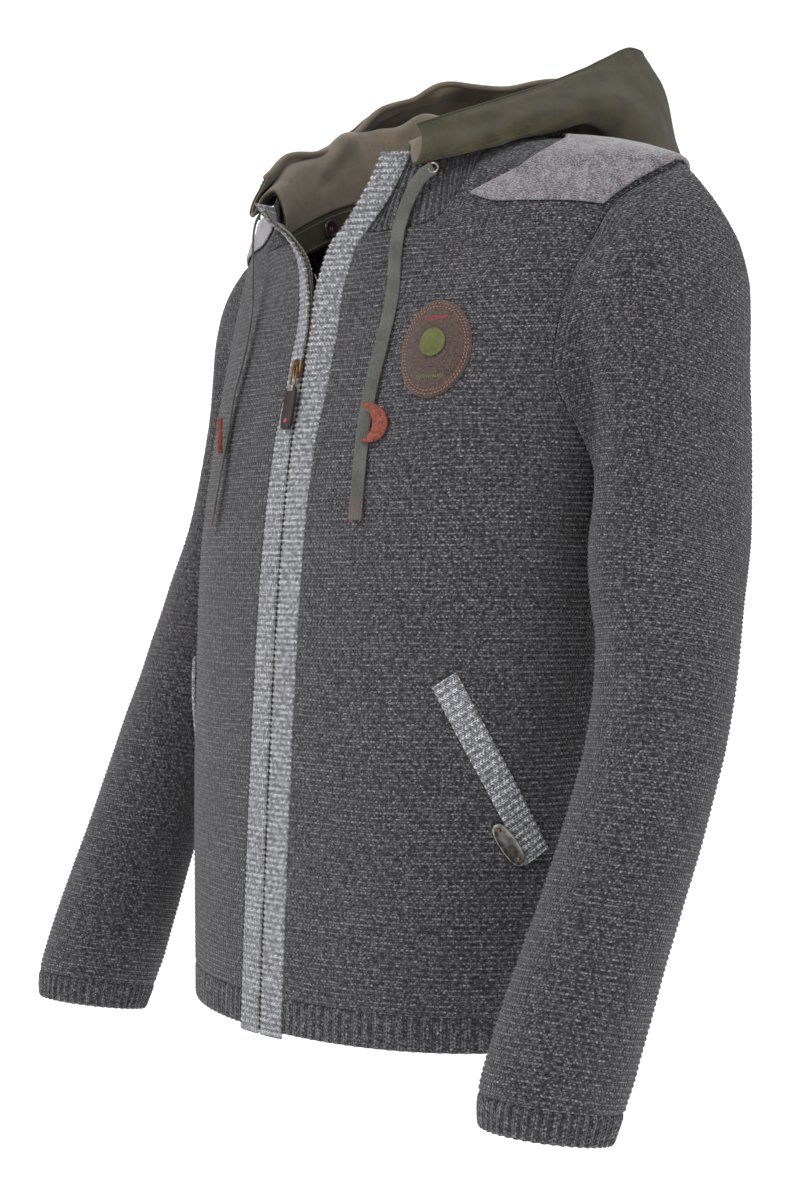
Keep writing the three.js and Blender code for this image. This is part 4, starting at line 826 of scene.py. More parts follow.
def knit_wall(middle, normals, uv, relief, ring=False, step=ROWS_PER_RIDGE):
    """A knit's outer grid stands half its wall and its relief off the middle, rolled in at its cut
    ends, and every step-th row has a point of the plain inner grid behind it."""
    reach = distances(middle)
    near = np.minimum(reach, reach[-1] - reach)
    roll = 0.9 * np.exp(-((near / 1.3) ** 2))
    outer = middle + normals * (KNIT / 2 - 0.25 + relief - roll)[..., None]
    inner = middle[::step] - normals[::step] * (KNIT / 2)
    return wall(outer, inner, uv, ring)


def measured(middle):
    """The flat cut of a panel: width, length and area of its middle surface, in metres."""
    across = np.linalg.norm(np.diff(middle, axis=1), axis=-1).sum(axis=1).max()
    up = np.linalg.norm(np.diff(middle, axis=0), axis=-1).sum(axis=0).max()
    turned = np.cross(middle[1:, 1:] - middle[:-1, :-1], middle[1:, :-1] - middle[:-1, 1:])
    area = np.linalg.norm(turned, axis=-1).sum() / 2
    return across * MM, up * MM, area * MM * MM


def sheet_piece(name, made, finish, node, middle, ring=False, rests_on=None):
    """A piece of cloth, with the cut of its middle surface, which it prints."""
    thing = piece(name, made, finish, (node,))
    if ring:
        middle = np.concatenate([middle, middle[:, :1]], axis=1)
    width, length, area = measured(middle)
    more = {"area": area} if area < 0.97 * width * length else {}
    if rests_on:
        more["rests_on"] = rests_on
    print(name, "cut", round(width / MM), "by", round(length / MM), "mm,", round(area, 3), "square metres")


low_levels = np.linspace(PANEL_BOTTOM, CHEST, LOW_STEPS + 1)
high_shares = np.linspace(0.0, 1.0, HIGH_STEPS + 1)[1:]
near_edge = np.array([0.0, 0.004, 0.011, 0.022])


def armhole_angle(z, table):
    """The armhole seam's angle, and the side seam's below and above it."""
    return np.where((z < UNDERARM) | (z >= SHOULDER_TIP), 90.0, table(z))


def front_places(side, share):
    """Angles and heights of a front panel's rows, at shares of its width."""
    z = low_levels[:, None] + 0 * share
    low = lerp(edge_angle[side](z), armhole_angle(z, armhole_front), share)
    up = high_shares[:, None]
    outer = armhole_angle(lerp(CHEST, SHOULDER_INNER, up), armhole_front)
    inner = edge_angle[side](lerp(CHEST, NECK_FRONT, up))
    level = lerp(inner, outer, share)
    neck = lerp(inner, outer, (neck_angle(share) - 20) / 70)
    high = lerp(CHEST, neck_height(share), up)
    return np.concatenate([low, lerp(level, neck, up**2)]), np.concatenate([z, high])


def back_places(across):
    """The same for half of the back, where across runs from 0 at its middle to 1 at its side."""
    z = low_levels[:, None] + 0 * across
    low = lerp(180.0, armhole_angle(z, armhole_back), across)
    up = high_shares[:, None]
    outer = armhole_angle(lerp(CHEST, SHOULDER_INNER, up), armhole_back)
    high = lerp(CHEST, neck_back_height(lerp(180.0, 90.0, across)), up)
    return np.concatenate([low, lerp(180.0, outer, across)]), np.concatenate([z, high])


panel_shares = np.concatenate([near_edge, np.linspace(0.04, 0.96, 52), 1 - near_edge[::-1]])
for side in (LEFT, RIGHT):
    angle, z = front_places(side, panel_shares[None, :])
    middle, normals = body_point(side, angle, z), body_normal(side, angle, z)
    uv = wandered(pattern_of(middle, LOW_STEPS + 1))
    made = knit_wall(middle, normals, uv, ridges(uv), step=PANEL_STEP)
    name = SIDE_NAMES[side]
    sheet_piece(f"front_knit_{name}", made, charcoal_moss, f"front_{name}", middle)

half = np.concatenate([np.linspace(0.0, 0.975, 32)[1:], 1 - near_edge[2::-1]])
angle, z = back_places(half[None, :])
left_half = body_point(LEFT, angle, z)
left_normals = body_normal(LEFT, angle, z)
mirror = np.array([-1.0, 1.0, 1.0])
angle, z = back_places(np.array([[0.0]]))
centre = body_point(LEFT, angle, z) * [0.0, 1.0, 1.0]
centre_normals = unit(body_normal(LEFT, angle, z) * [0.0, 1.0, 1.0])
middle = np.concatenate([left_half[:, ::-1], centre, left_half * mirror], axis=1)
normals = np.concatenate([left_normals[:, ::-1], centre_normals, left_normals * mirror], axis=1)
uv = wandered(pattern_of(middle, LOW_STEPS + 1))
made = knit_wall(middle, normals, uv, ridges(uv), step=PANEL_STEP)
sheet_piece("back_knit", made, charcoal_moss, "back", middle)

# %% [markdown]
# Hem and cuffs are ribbed: columns of knit stitches stand proud and the purl columns between them
# sink in. A rib is a level wave round the piece, so eight grid columns to each rib are enough, and
# the finish leans the stitches of each column together.

# %% Ribbed hem
RIB_COLUMNS, HEM_RIBS, CUFF_RIBS, COLLAR_RIBS, WELT_RIBS = 8, 110, 46, 106, 27
HEM_RELIEF, COLLAR_RELIEF, WELT_RELIEF, RIB_SINK = 0.65, 0.75, 0.55, 0.2


def ribs(columns, height):
    """One wave for each rib along a row: a cosine, a little flattened on top."""
    wave = np.cos(2 * np.pi * np.arange(columns) / RIB_COLUMNS)
    return height * np.sign(wave) * np.abs(wave) ** 0.7


def rib_pattern(grid, ring=False):
    """The pattern of a ribbed piece: every rib counts as eight millimetres across."""
    columns = grid.shape[1] + (1 if ring else 0)
    up = distances(grid)
    if ring:
        up = np.concatenate([up, up[:, :1]], axis=1)
    return stacked(np.arange(columns) * RIB_UNIT / RIB_COLUMNS, up)


def round_body(turn, z):
    """Points and normals right round the form, the turn running from centre front by the left."""
    left, right = np.minimum(turn, 180.0), np.minimum(360.0 - turn, 180.0)
    on_left = (turn <= 180.0)[..., None]
    points = np.where(on_left, body_point(LEFT, left, z), body_point(RIGHT, right, z))
    return points, np.where(on_left, body_normal(LEFT, left, z), body_normal(RIGHT, right, z))


hem_levels = np.linspace(HEM_TOP - SEAM / 2, HEM_BOTTOM, RIB_STEP + 1)[:, None]
hem_start = edge_angle[LEFT](hem_levels)
hem_columns = HEM_RIBS * RIB_COLUMNS + 1
turn = lerp(hem_start, 360 - hem_start, np.linspace(0, 1, hem_columns)[None, :])
middle, normals = round_body(turn, hem_levels + 0 * turn)
uv = rib_pattern(middle)
made = knit_wall(middle, normals, uv, ribs(hem_columns, HEM_RELIEF) - RIB_SINK, step=RIB_STEP)
sheet_piece("hem_ribbing", made, charcoal_rib, "hem_rib", middle)

# %% [markdown]
# A sleeve starts on the armhole seam, turns down over the upper arm as a cap, and then runs as
# tilted oval sections to the cuff. The cap's points leave the seam along the body and settle onto
# the sleeve's own ovals, so the seam has no step in it.

# %% Sleeves and cuffs
# height, x, y, half side, half front, half rear
SLEEVE = [
    (-40, 192, 26, 42, 24, 30), (-50, 196, 24, 47, 41, 50), (-65, 203, 23.5, 49, 52, 62),
    (-80, 208, 22.5, 50, 60, 70), (-97, 213, 22.5, 49, 66, 74), (-120, 217, 22.5, 48, 69, 74),
    (-140, 219, 22, 47, 70, 72), (-170, 222.5, 21, 44.5, 69, 68.5), (-200, 228.5, 19, 40.5, 67, 66),
    (-235, 235, 15, 37, 66, 66), (-270, 238, 10, 38.5, 67, 67), (-300, 240.5, 4, 41, 68, 68),
    (-340, 251.6, -11, 46, 60, 58), (-380, 265, -26.5, 46, 50, 49.5), (-420, 271.7, -40, 45, 48, 48),
    (-460, 275.5, -56, 45, 47, 47), (-500, 275.5, -72, 45, 47.5, 47.5), (-540, 274.3, -89, 45, 48, 48),
    (-580, 272.5, -106.4, 45, 50, 50), (-620, 271, -123, 46, 51.3, 51.3), (-650, 270, -134.5, 46, 51.5, 51.5),
    (-670, 269.7, -141, 44.5, 49, 49), (-700, 269.5, -146, 39, 41, 41),
]
# height, forward slope of the level
SLEEVE_SLOPE = [
    (-300, 0.02), (-337, 0.08), (-370, 0.15), (-403, 0.22), (-440, 0.3), (-485, 0.34), (-535, 0.34),
    (-585, 0.3), (-632, 0.24), (-668, 0.18),
]
ARMHOLE_LEVELS = [-40, -53.64, -68.24, -88.68, -109.12, -129.56, -150, -177, -205, -225, -235]
CAP_END, SLEEVE_END, CUFF_SLOPE, CUFF_BOTTOM = -300.0, -667.75, 0.18, -688.0
SLEEVE_COLUMNS, CAP_ROWS, TUBE_ROWS = 72, 300, 400
sleeve_x, sleeve_y, sleeve_side, sleeve_front, sleeve_rear = (curve(SLEEVE, k) for k in range(1, 6))
sleeve_slope = curve(SLEEVE_SLOPE, 1)


def sleeve_point(side, z, turn, slope=0.0):
    """A sleeve's section at a height: an ellipse whose front and rear depths differ, tilted forward
    by slope. turn is 0 on its outer side and a quarter turn at the front."""
    forward = np.sin(turn)
    depth = np.where(forward > 0, sleeve_front(z), sleeve_rear(z))
    height = z + slope * depth * forward
    depth = np.where(forward > 0, sleeve_front(height), sleeve_rear(height))
    x = side * (sleeve_x(height) + sleeve_side(height) * np.cos(turn))
    return stacked(x, sleeve_y(height) - depth * forward, height)


def armhole_loop(side):
    """Points of the armhole seam at equal turns, the body's normals there, and the way off the seam."""
    steps = np.arange(SLEEVE_COLUMNS) * 20 / SLEEVE_COLUMNS
    z = np.interp(np.minimum(steps, 20 - steps), range(11), ARMHOLE_LEVELS)
    angle = np.where(steps <= 10, armhole_front(z), armhole_back(z))
    points, normals = body_point(side, angle, z), body_normal(side, angle, z)
    ahead = np.roll(points, -1, axis=0) - np.roll(points, 1, axis=0)
    return points, normals, unit(np.cross(normals, ahead)) * side


def sleeve_middle(side):
    """The sleeve's middle surface from the seam to its end, with its normals."""
    points, loop_normals, away = armhole_loop(side)
    turn = turns(SLEEVE_COLUMNS)
    under = smooth((-np.cos(turn) - 0.2) / 0.8)
    start = points + away * (0.2 * (1 - under))[:, None]
    start[:, 0] += side * 3.1 * under
    share = np.linspace(0, 1, CAP_ROWS + 1)[:-1, None]
    end_z = sleeve_point(side, CAP_END, turn, 0.02)[:, 2]
    z = lerp(points[:, 2], end_z, share ** lerp(2.1, 1.3, under))
    pull = lerp((1 - share) ** 5, 1 - smooth(share), under)
    miss = start - sleeve_point(side, points[:, 2], turn)
    cap = sleeve_point(side, z, turn[None, :]) + miss * pull[..., None]
    levels = np.linspace(CAP_END, SLEEVE_END, TUBE_ROWS + 1)[:, None]
    grid = np.concatenate([cap, sleeve_point(side, levels, turn[None, :], sleeve_slope(levels))])
    normals = outward(grid)
    blend = ((1 - under) * np.clip(1 - share / 0.2, 0, 1))[..., None]
    normals[:CAP_ROWS] = unit(lerp(normals[:CAP_ROWS], loop_normals[None], blend))
    return grid, normals


def outward(grid):
    """Ring normals, turned away from the middle of each row."""
    normals = grid_normals(grid, ring=True)
    away = grid - grid.mean(axis=1, keepdims=True)
    return normals if (normals * away).sum() > 0 else -normals


for side in (LEFT, RIGHT):
    name = SIDE_NAMES[side]
    middle, normals = sleeve_middle(side)
    uv = pattern_of(middle, 0, SLEEVE_ROUND)
    uv[..., 1] -= uv[-1:, :, 1]
    uv = wandered(uv)
    made = knit_wall(middle, normals, uv, ridges(uv)[:, :-1], ring=True, step=SLEEVE_STEP)
    sheet_piece(
        f"sleeve_knit_{name}", made, charcoal_moss, f"sleeve_{name}", middle,
        ring=True,
    )
    columns = CUFF_RIBS * RIB_COLUMNS
    turn = turns(columns)[None, :]
    levels = np.linspace(SLEEVE_END - SEAM, CUFF_BOTTOM, RIB_STEP + 1)[:, None]
    middle = sleeve_point(side, levels, turn, CUFF_SLOPE)
    uv = rib_pattern(middle, ring=True)
    relief = ribs(columns, HEM_RELIEF) - RIB_SINK
    made = knit_wall(middle, outward(middle), uv, relief, ring=True, step=RIB_STEP)
    sheet_piece(
        f"cuff_ribbing_{name}", made, charcoal_rib, f"cuff_{name}", middle,
        ring=True,
    )

# %% [markdown]
# The front bands are folded strips of paler, finer knitting, with ribs that run across them and a
# scalloped edge along the teeth. A band is one outline carried up the flap's edge. The outline
# swells at each rib. Behind it lie the zip's tape with its teeth, and the facing of the open collar.

# %% Front bands, zip tapes and facings
ZIP_TOOTH, ZIP_START, TOOTH_LENGTH, TOOTH_HEIGHT, TOOTH_DEPTH = 2.6, 6.0, 3.4, 1.5, 2.0
BAND_STEPS, BAND_SIDES = 6, 22
FINE_STITCH, FINE_PITCH = (2.5, 0.5, 0.6), 3.4
SLIDER_LEVEL, FACING_BOTTOM = -178.0, -205.0
TAPE_DEPTH = -(BAND / 2 + SEAM + CLOTH / 2)
FACING_DEPTH = TAPE_DEPTH - CLOTH - 2 * SEAM
facing_width = curve([(FACING_BOTTOM, 18), (-140, 27), (NECK_FRONT, 32), (-50, 22)], 1)
for side in (LEFT, RIGHT):
    name = SIDE_NAMES[side]
    top = COLLAR_END[side][1]
    steps = int((top - BAND_BOTTOM) / BAND_RIB) * BAND_STEPS
    levels = np.linspace(BAND_BOTTOM, top, steps + 1)[:, None]
    wave = np.cos(2 * np.pi * levels / BAND_RIB) + 0.25 * np.sin(levels / 9.1)
    wide, deep = outline(1.0, BAND / 2, BAND_SIDES, 4.5)
    inner = ZIP_GAP - np.where(levels < SLIDER_LEVEL, 0.7, 0.0) - 0.6 * wave
    place = lerp(inner, BAND_OUTER, (wide[None, :] + 1) / 2)
    puff = deep[None, :] * (0.9 + 0.24 * wave)
    sections = flap_point(side, levels, place) + flap_face(side, levels) * puff[..., None]
    uv = stacked(levels, place)
    middle = flap_point(side, levels, np.linspace(ZIP_GAP, BAND_OUTER, 5)[None, :])
    made = tube(sections, uv)
    sheet_piece(f"band_{name}", made, pale_rib, f"front_band_{name}", middle)
    for what, bottom, end, depth in (
        ("zip_tape", BAND_BOTTOM, top, TAPE_DEPTH),
        ("facing", FACING_BOTTOM, COLLAR_END[side][0], FACING_DEPTH),
    ):
        levels = np.linspace(bottom, end, 161)[:, None]
        lean = np.tan(np.radians(flap[side][2](levels)))
        if what == "zip_tape":
            near, far = 0.6 - (depth - CLOTH / 2) * lean, 12.0
        else:
            near, far = 0.6 - (depth - 2) * lean, facing_width(levels)
        place = lerp(near, far, np.linspace(0, 1, 4)[None, :])
        middle = flap_point(side, levels, place)
        walls = [middle + flap_face(side, levels) * (depth + CLOTH / 2 * k) for k in (1, -1)]
        made = wall(*walls, stacked(place, levels))
        sheet_piece(
            f"{what}_{name}_cloth", made, facing_cloth, f"{what}_{name}", middle,
        )
    teeth_levels = np.arange(BAND_BOTTOM + ZIP_START, top - ZIP_START, ZIP_TOOTH)
    teeth_levels += ZIP_TOOTH / 2 if side == LEFT else 0.0
    lean = np.radians(flap[side][2](teeth_levels))[:, None]
    inwards = np.concatenate([side * np.cos(lean), np.sin(lean), 0 * lean], axis=1)
    faces_out = flap_face(side, teeth_levels)
    upwards = np.tile(UP, (len(teeth_levels), 1))
    at = flap_point(side, teeth_levels, 1.2) + faces_out * -1.4
    at -= faces_out * np.maximum(1.2 * np.tan(lean), 0)
    made = spindles(at, inwards * TOOTH_LENGTH, upwards * TOOTH_HEIGHT, faces_out * TOOTH_DEPTH)
    piece(f"zip_teeth_{name}", made, brass_metal)
    edge_levels = np.linspace(FACING_BOTTOM + 12, COLLAR_END[side][0] - 4, 60)
    for k, inset in enumerate((3.0, 9.0)):
        normals = flap_face(side, edge_levels)
        run = flap_point(side, edge_levels, inset + 0.8) + normals * (FACING_DEPTH - CLOTH / 2)
        sewn = stitches(run, normals, FINE_PITCH, FINE_STITCH)
        piece(f"facing_stitches_{name}_{k}", sewn, pale_thread)

# %% [markdown]
# The collar stands up from the neck seam in deep ribs. Its foot is the panels' top row, its top is a
# level oval that leans out over it, and a curve through both and a middle row gives its swell. The
# two front ends are held square by the bands.

# %% Collar
RAIL_STOPS = [0, 0.125, 0.25, 0.4, 0.55, 0.75, 1]
# front x, front y, half width, middle, back, heights at the stops
COLLAR_TOP = (63, -83, 108, 4, 90, [-21, -8, 6, 20, 28, 34, 36])
RIGHT_PULL = np.array([12.0, -20.0, -19.0])
PULL_SHARE, COLLAR_LEAD, COLLAR_GAP = 0.36, 1.4, 0.5


def rail_point(rail, share, side):
    """An oval in plan, through a front point, a widest line and a back point, with its heights. The
    right front end is drawn down and out with the open flap."""
    front_x, front_y, half_width, rail_middle, rail_back, heights = rail
    start = np.arcsin(front_x / half_width)
    turn = lerp(start, np.pi, share)
    ahead = (rail_middle - front_y) / np.cos(start)
    depth = np.where(turn < np.pi / 2, ahead, rail_back - rail_middle)
    pull = np.where(side == RIGHT, (1 - np.clip(share / PULL_SHARE, 0, 1)) ** 2, 0.0)
    x = side * (half_width * np.sin(turn) + RIGHT_PULL[0] * pull)
    y = rail_middle - depth * np.cos(turn) + RIGHT_PULL[1] * pull
    level = curve(list(zip(RAIL_STOPS, heights)), 1)(share)
    return stacked(x, y, level + RIGHT_PULL[2] * pull)


neck_shares = np.linspace(0, 1, 60)
foot, foot_normals = [], []
for side in (LEFT, RIGHT):
    angle, z = (part[-1] for part in front_places(side, neck_shares[None, :]))
    back_angle, back_z = (part[-1] for part in back_places(np.linspace(1, 0, 50)[None, 1:]))
    angle, z = np.concatenate([angle, back_angle]), np.concatenate([z, back_z])
    point, normal = body_point(side, angle, z), body_normal(side, angle, z)
    low = np.minimum(z, -0.9)
    rise = body_point(side, angle, low + 0.4) - body_point(side, angle, low - 0.4)
    rise = unit(rise - normal * (rise * normal).sum(axis=-1, keepdims=True))
    point = point + rise * COLLAR_GAP
    point[0] = flap_point(side, NECK_FRONT + COLLAR_GAP, COLLAR_START)
    foot.append(point)
    foot_normals.append(normal)
foot = np.concatenate([foot[0], foot[1][-2::-1]])
foot_normals = np.concatenate([foot_normals[0], foot_normals[1][-2::-1]])
collar_columns = COLLAR_RIBS * RIB_COLUMNS + 1
both, _ = evenly(np.concatenate([foot, foot_normals], axis=1), collar_columns)
base, base_normals = both[:, :3], unit(both[:, 3:])
share = np.linspace(0, 1, collar_columns)
half_of = [(LEFT, share <= 0.5), (RIGHT, share > 0.5)]
round_share = 1 - np.abs(2 * share - 1)
end = smooth(1 - round_share / 0.12)[:, None]
top, middle_row, end_faces = np.zeros_like(base), np.zeros_like(base), np.zeros_like(base)
for side, here in half_of:
    rail = rail_point(COLLAR_TOP, round_share[here] ** COLLAR_LEAD, side)
    middle_z, top_z = COLLAR_END[side]
    middle_row[here] = lerp(lerp(base[here], rail, 0.5), flap_point(side, middle_z, COLLAR_START), end[here])
    top[here] = lerp(rail, flap_point(side, top_z, COLLAR_START), end[here])
    end_faces[here] = flap_face(side, np.array(middle_z))
t = np.linspace(0, 1, 25)[:, None, None]
middle = base * (1 - t) * (1 - 2 * t) + middle_row * 4 * t * (1 - t) + top * t * (2 * t - 1)
own = grid_normals(middle)
own = np.where((own[..., :2] * middle[..., :2]).sum(axis=-1, keepdims=True) < 0, -own, own)
normals = unit(lerp(own, end_faces, end))
normals = unit(lerp(base_normals, normals, smooth(t * 2)))
uv = rib_pattern(middle)
made = knit_wall(middle, normals, uv, ribs(collar_columns, COLLAR_RELIEF) - RIB_SINK)
sheet_piece("collar_ribbing", made, charcoal_rib, "collar", middle)

# %% [markdown]
# The hood is cotton outside and a smooth lining inside, pushed back so that it lies behind the neck.
# Ten level lines run round it from one front end to the other, and a spline through them gives the
# cloth. Both layers share one set of soft folds, so they never cut through each other. A narrow rolled
# edge and two rows of stitching finish the opening.

# %% Hood and its lining
# front x, front y, half width, middle, back, heights at the stops
HOOD_RAILS = [
    (56, -76.5, 89, 0, 70, [-50, -44, -36, -27, -18, -10, -6]),
    (56.5, -77.5, 95, 2, 76, [-32, -24, -10, 6, 14, 20, 24]),
    (62, -83, 107, 4, 90, [-15, -3, 11, 27, 36, 43, 45]),
    (70, -88, 122, 8, 112, [-19, -10, 2, 16, 16, 16, 12]),
    (74, -91, 131, 12, 150, [-28, -20, -6, 5, -8, -40, -64]),
    (78, -92, 142, 18, 196, [-33, -26, -12, 1, -24, -62, -84]),
    (82, -91, 150, 22, 224, [-30, -23, -9, 8, -4, -28, -42]),
    (82, -88, 144, 28, 222, [-21, -15, 3, 26, 22, 14, 8]),
    (78, -85, 126, 42, 205, [-12, 1, 20, 46, 58, 58, 52]),
    (72, -84, 112, 52, 186, [-4, 12, 31, 58, 77, 83, 81]),
]
HOOD_COLUMNS, HOOD_ROWS = 161, 109
HOOD_STITCH, HOOD_PITCH = (2.7, 0.55, 0.6), 3.6
EDGE_ROWS, PANEL_SHARES, PANEL_START = (4, 8), (0.28, 0.72), 24


def round_rail(rail, count):
    """A rail from the left front end round the back to the right one."""
    share = np.linspace(0, 1, count)
    round_share = 1 - np.abs(2 * share - 1)
    ends = [rail_point(rail, round_share, side) for side in (LEFT, RIGHT)]
    return np.where((share <= 0.5)[:, None], ends[0], ends[1])


hood_places = np.linspace(0, len(HOOD_RAILS) - 1, HOOD_ROWS)
hood = spline(np.stack([round_rail(rail, HOOD_COLUMNS) for rail in HOOD_RAILS]), hood_places)
hood_normals = grid_normals(hood)
if hood_normals[0, HOOD_COLUMNS // 2, 1] < 0:
    hood_normals = -hood_normals
u, v = np.linspace(-1, 1, HOOD_COLUMNS)[None, :], hood_places[:, None]
free = smooth((v - 1.6) / 1.6) * smooth((9 - v) / 0.9) * smooth((1 - np.abs(u)) / 0.15)
folds = 2.0 * np.sin(9.0 * u + 1.1 * v) + 1.3 * np.sin(17.0 * u - 2.3 * v + 1.0)
folds += 1.0 * np.sin(5.0 * u + 4.2 * v + 2.0) + 0.6 * np.sin(29.0 * u + 1.7 * v)
slack = smooth(u / 0.2) * smooth((1 - u) / 0.12) * smooth((v - 5.0) / 1.5)
creases = 4.5 * np.sin(15.0 * u + 2.6 * v) + 2.6 * np.sin(26.0 * u - 1.9 * v + 0.7)
creases += 1.4 * np.sin(43.0 * u + 3.3 * v)
inside = smooth(u / 0.15) * smooth((1 - u) / 0.2) * smooth((v - 0.9) / 0.9) * smooth((6.0 - v) / 1.5)
tucks = (1 + np.sin(21.0 * u + 3.4 * v)) ** 2 + 0.7 * (1 + np.sin(37.0 * u - 2.8 * v + 0.5))
hood = hood + hood_normals * (folds * free + creases * slack - 1.5 * tucks * inside)[..., None]
hood[..., 2] += 3.5 * slack * (1 + np.sin(13.0 * u + 1.2)) ** 1.5
uv = pattern_of(hood)
for name, near, far, finish, slot in (
    ("hood_outer", SEAM / 2, SEAM / 2 + CLOTH, olive_cloth, "olive_cloth"),
    ("hood_lining", -SEAM / 2, -SEAM / 2 - CLOTH, taupe_cloth, "taupe_lining"),
):
    made = wall(hood + hood_normals * far, (hood + hood_normals * near)[::2], uv)
    sheet_piece(f"{name}_cloth", made, finish, name, hood, rests_on=["collar_ribbing"])


def rolled(line, radius, sides=8):
    """A round edge: a circle of that radius carried along a line."""
    ahead = unit(np.gradient(line, axis=0))
    up = unit(np.cross(ahead, np.cross(UP, ahead)))
    turn = turns(sides)
    sections = line[:, None] + circled(unit(np.cross(ahead, up)), up, turn) * radius
    return tube(sections, stacked(turn[None, :] * radius, distances(line)[:, None]))


near_end = HOOD_COLUMNS // 2 + 4
piece("hood_edge_roll", rolled(hood[-1, :near_end] + [0, 0, 0.4], 1.5), olive_dark)
piece("lining_edge_roll", rolled(hood[-1, near_end - 2:] + [0, 0, 0.6], 2.6, 14), taupe_cloth)
seams = [("hood_stitches", k, -1 - rows) for k, rows in enumerate(EDGE_ROWS)]
for k, share in enumerate(PANEL_SHARES):
    column = int(share * (HOOD_COLUMNS - 1))
    seams.append(("hood_panel_stitches", k, (slice(PANEL_START, None), column)))
for what, k, run in seams:
    for name, out in (("inside", -SEAM / 2 - CLOTH), ("outside", SEAM / 2 + CLOTH)):
        normals = hood_normals[run]
        sewn = stitches(hood[run] + normals * out, normals, HOOD_PITCH, HOOD_STITCH)
        piece(f"{what}_{name}_{k}", sewn, olive_thread)

# %% [markdown]
# The hood comes off: a band of doubled cotton along its neck edge buttons to the inside of the
# collar. A turned profile makes the horn buttons, and thread crosses through their holes.

# %% Hood band, buttons and eyelets
BAND_DROP, BAND_BELOW, BAND_COLUMNS, BAND_ROWS = 24.0, SEAM + 0.5, 241, 9
BUTTON_SHARE, BUTTON_STAND, EYELET_RADIUS, EYELET_WIRE = 0.2, 1.9, 3.4, 0.8


def closed_tube(sections):
    """A tube whose last outline joins its first, such as a ring."""
    rows, columns = sections.shape[:2]
    again = np.concatenate([sections, sections[:1]])
    sides, _ = cells(rows + 1, columns, 0, True)
    return again[:rows].reshape(-1, 3), (sides % (rows * columns)).tolist(), None


def ring_shape(centre, x_axis, y_axis, radius, wire, count=40, sides=10):
    """A torus: a circle of wire carried round a circle of radius."""
    spoke = circled(x_axis, y_axis, turns(count))
    ring = circled(spoke, unit(np.cross(x_axis, y_axis)), turns(sides))
    return closed_tube(centre + spoke[:, None] * radius + ring * wire)


def turned(profile, centre, axis, count=40):
    """A turned shape: a profile of radius and height carried round an axis."""
    aside = unit(np.cross(axis, UP))
    spoke = circled(aside, np.cross(aside, axis), turns(count))
    radius, height = np.array(profile, float).T
    sections = centre + spoke[None] * radius[:, None, None] + axis * height[:, None, None]
    return tube(sections, np.zeros(sections.shape[:2] + (2,)))


rail = round_rail(HOOD_RAILS[0], BAND_COLUMNS)
outward_flat = unit(rail * [1.0, 1.0, 0.0])
drop = np.linspace(BAND_DROP + BAND_BELOW, BAND_BELOW, BAND_ROWS)[:, None, None]
band_middle = rail[None] - drop * UP
waves = np.sin(np.linspace(0, 60, BAND_COLUMNS))[None, :, None]
waver = 0.25 * waves * np.sin(np.linspace(0, np.pi, BAND_ROWS))[:, None, None]
walls = [band_middle + outward_flat * (out + waver) for out in (1.3, -0.7)]
made = wall(*walls, pattern_of(band_middle))
sheet_piece("hood_band_cloth", made, olive_cloth, "hood_band", band_middle)
for k, row in enumerate((1, BAND_ROWS - 2)):
    sewn = stitches(walls[1][row], -outward_flat, FINE_PITCH, FINE_STITCH)
    piece(f"hood_band_stitches_{k}", sewn, pale_thread)
# radius and height of the button's profile
BUTTON = [
    (0.2, 0), (6.4, 0), (7.2, 0.4), (7.5, 1.1), (7.3, 2.0), (6.8, 2.5), (6.2, 2.7), (5.6, 2.55),
    (5.0, 2.1), (4.2, 1.95), (0.2, 1.95),
]
for side in (LEFT, RIGHT):
    name = SIDE_NAMES[side]
    place = rail_point(HOOD_RAILS[0], np.array(BUTTON_SHARE), side)
    along = rail_point(HOOD_RAILS[0], np.array(BUTTON_SHARE + 0.02), side) - place
    inwards = unit(np.array([-side * along[1], side * along[0], 0.0]))
    place = place + [0, 0, -BAND_BELOW - BAND_DROP / 2] + inwards * BUTTON_STAND
    made = turned(BUTTON, place, inwards)
    piece(f"horn_button_{name}", made, horn_finish, (f"hood_button_{name}",))
    aside = unit(np.cross(inwards, UP))
    centres = place + inwards * 2.0 + aside * np.array([[-1.2], [1.2]])
    thread_axes = [np.tile(axis, (2, 1)) for axis in (UP * 4.2, aside * 0.9, inwards * 0.9)]
    sewn = spindles(centres, *thread_axes)
    piece(f"button_thread_{name}", sewn, copper_thread)
    eyelet = np.array(STRING_ROUTE[side][0], float)
    across = np.array([side * 0.8, 0.6, 0.0])
    made = ring_shape(eyelet, across, UP, EYELET_RADIUS, EYELET_WIRE)
    piece(f"eyelet_{name}", made, steel_metal)

# %% [markdown]
# Felt patches lie over the shoulder seams. Felt has no weave: it is a mat of fibres, so its face is
# gently uneven and its cut edge is soft. One row of stitching holds it down.

# %% Shoulder patches
# share, angle, height of the patch's edge
YOKE_EDGE = [(0, 54.5, -57.5), (0.27, 61, -65), (0.58, 68, -67), (0.84, 74.5, -69), (1, 79.3, -72)]
YOKE_INNER, YOKE_OUTER, YOKE_LIFT = -9.0, -38.5, 1.3
yoke_angle, yoke_height = curve(YOKE_EDGE, 1), curve(YOKE_EDGE, 2)
YOKE_ROWS, YOKE_COLUMNS = 101, 61
PATCH_STITCH, PATCH_PITCH = (3.1, 0.8, 0.9), 4.2
ON_KNIT = KNIT / 2 + 0.4


def yoke_place(lengthwise, share):
    """Angle and height on the patch: lengthwise runs from its front edge over the shoulder to its
    back edge, share from the collar to the armhole."""
    over = 2 * lengthwise - 1
    away = np.abs(over) ** 0.8
    angle = lerp(89.7, yoke_angle(share), away)
    ridge = lerp(YOKE_INNER, YOKE_OUTER, share**1.1)
    z = lerp(ridge, yoke_height(share), away**1.4)
    return np.where(over < 0, angle, 180 - angle), z


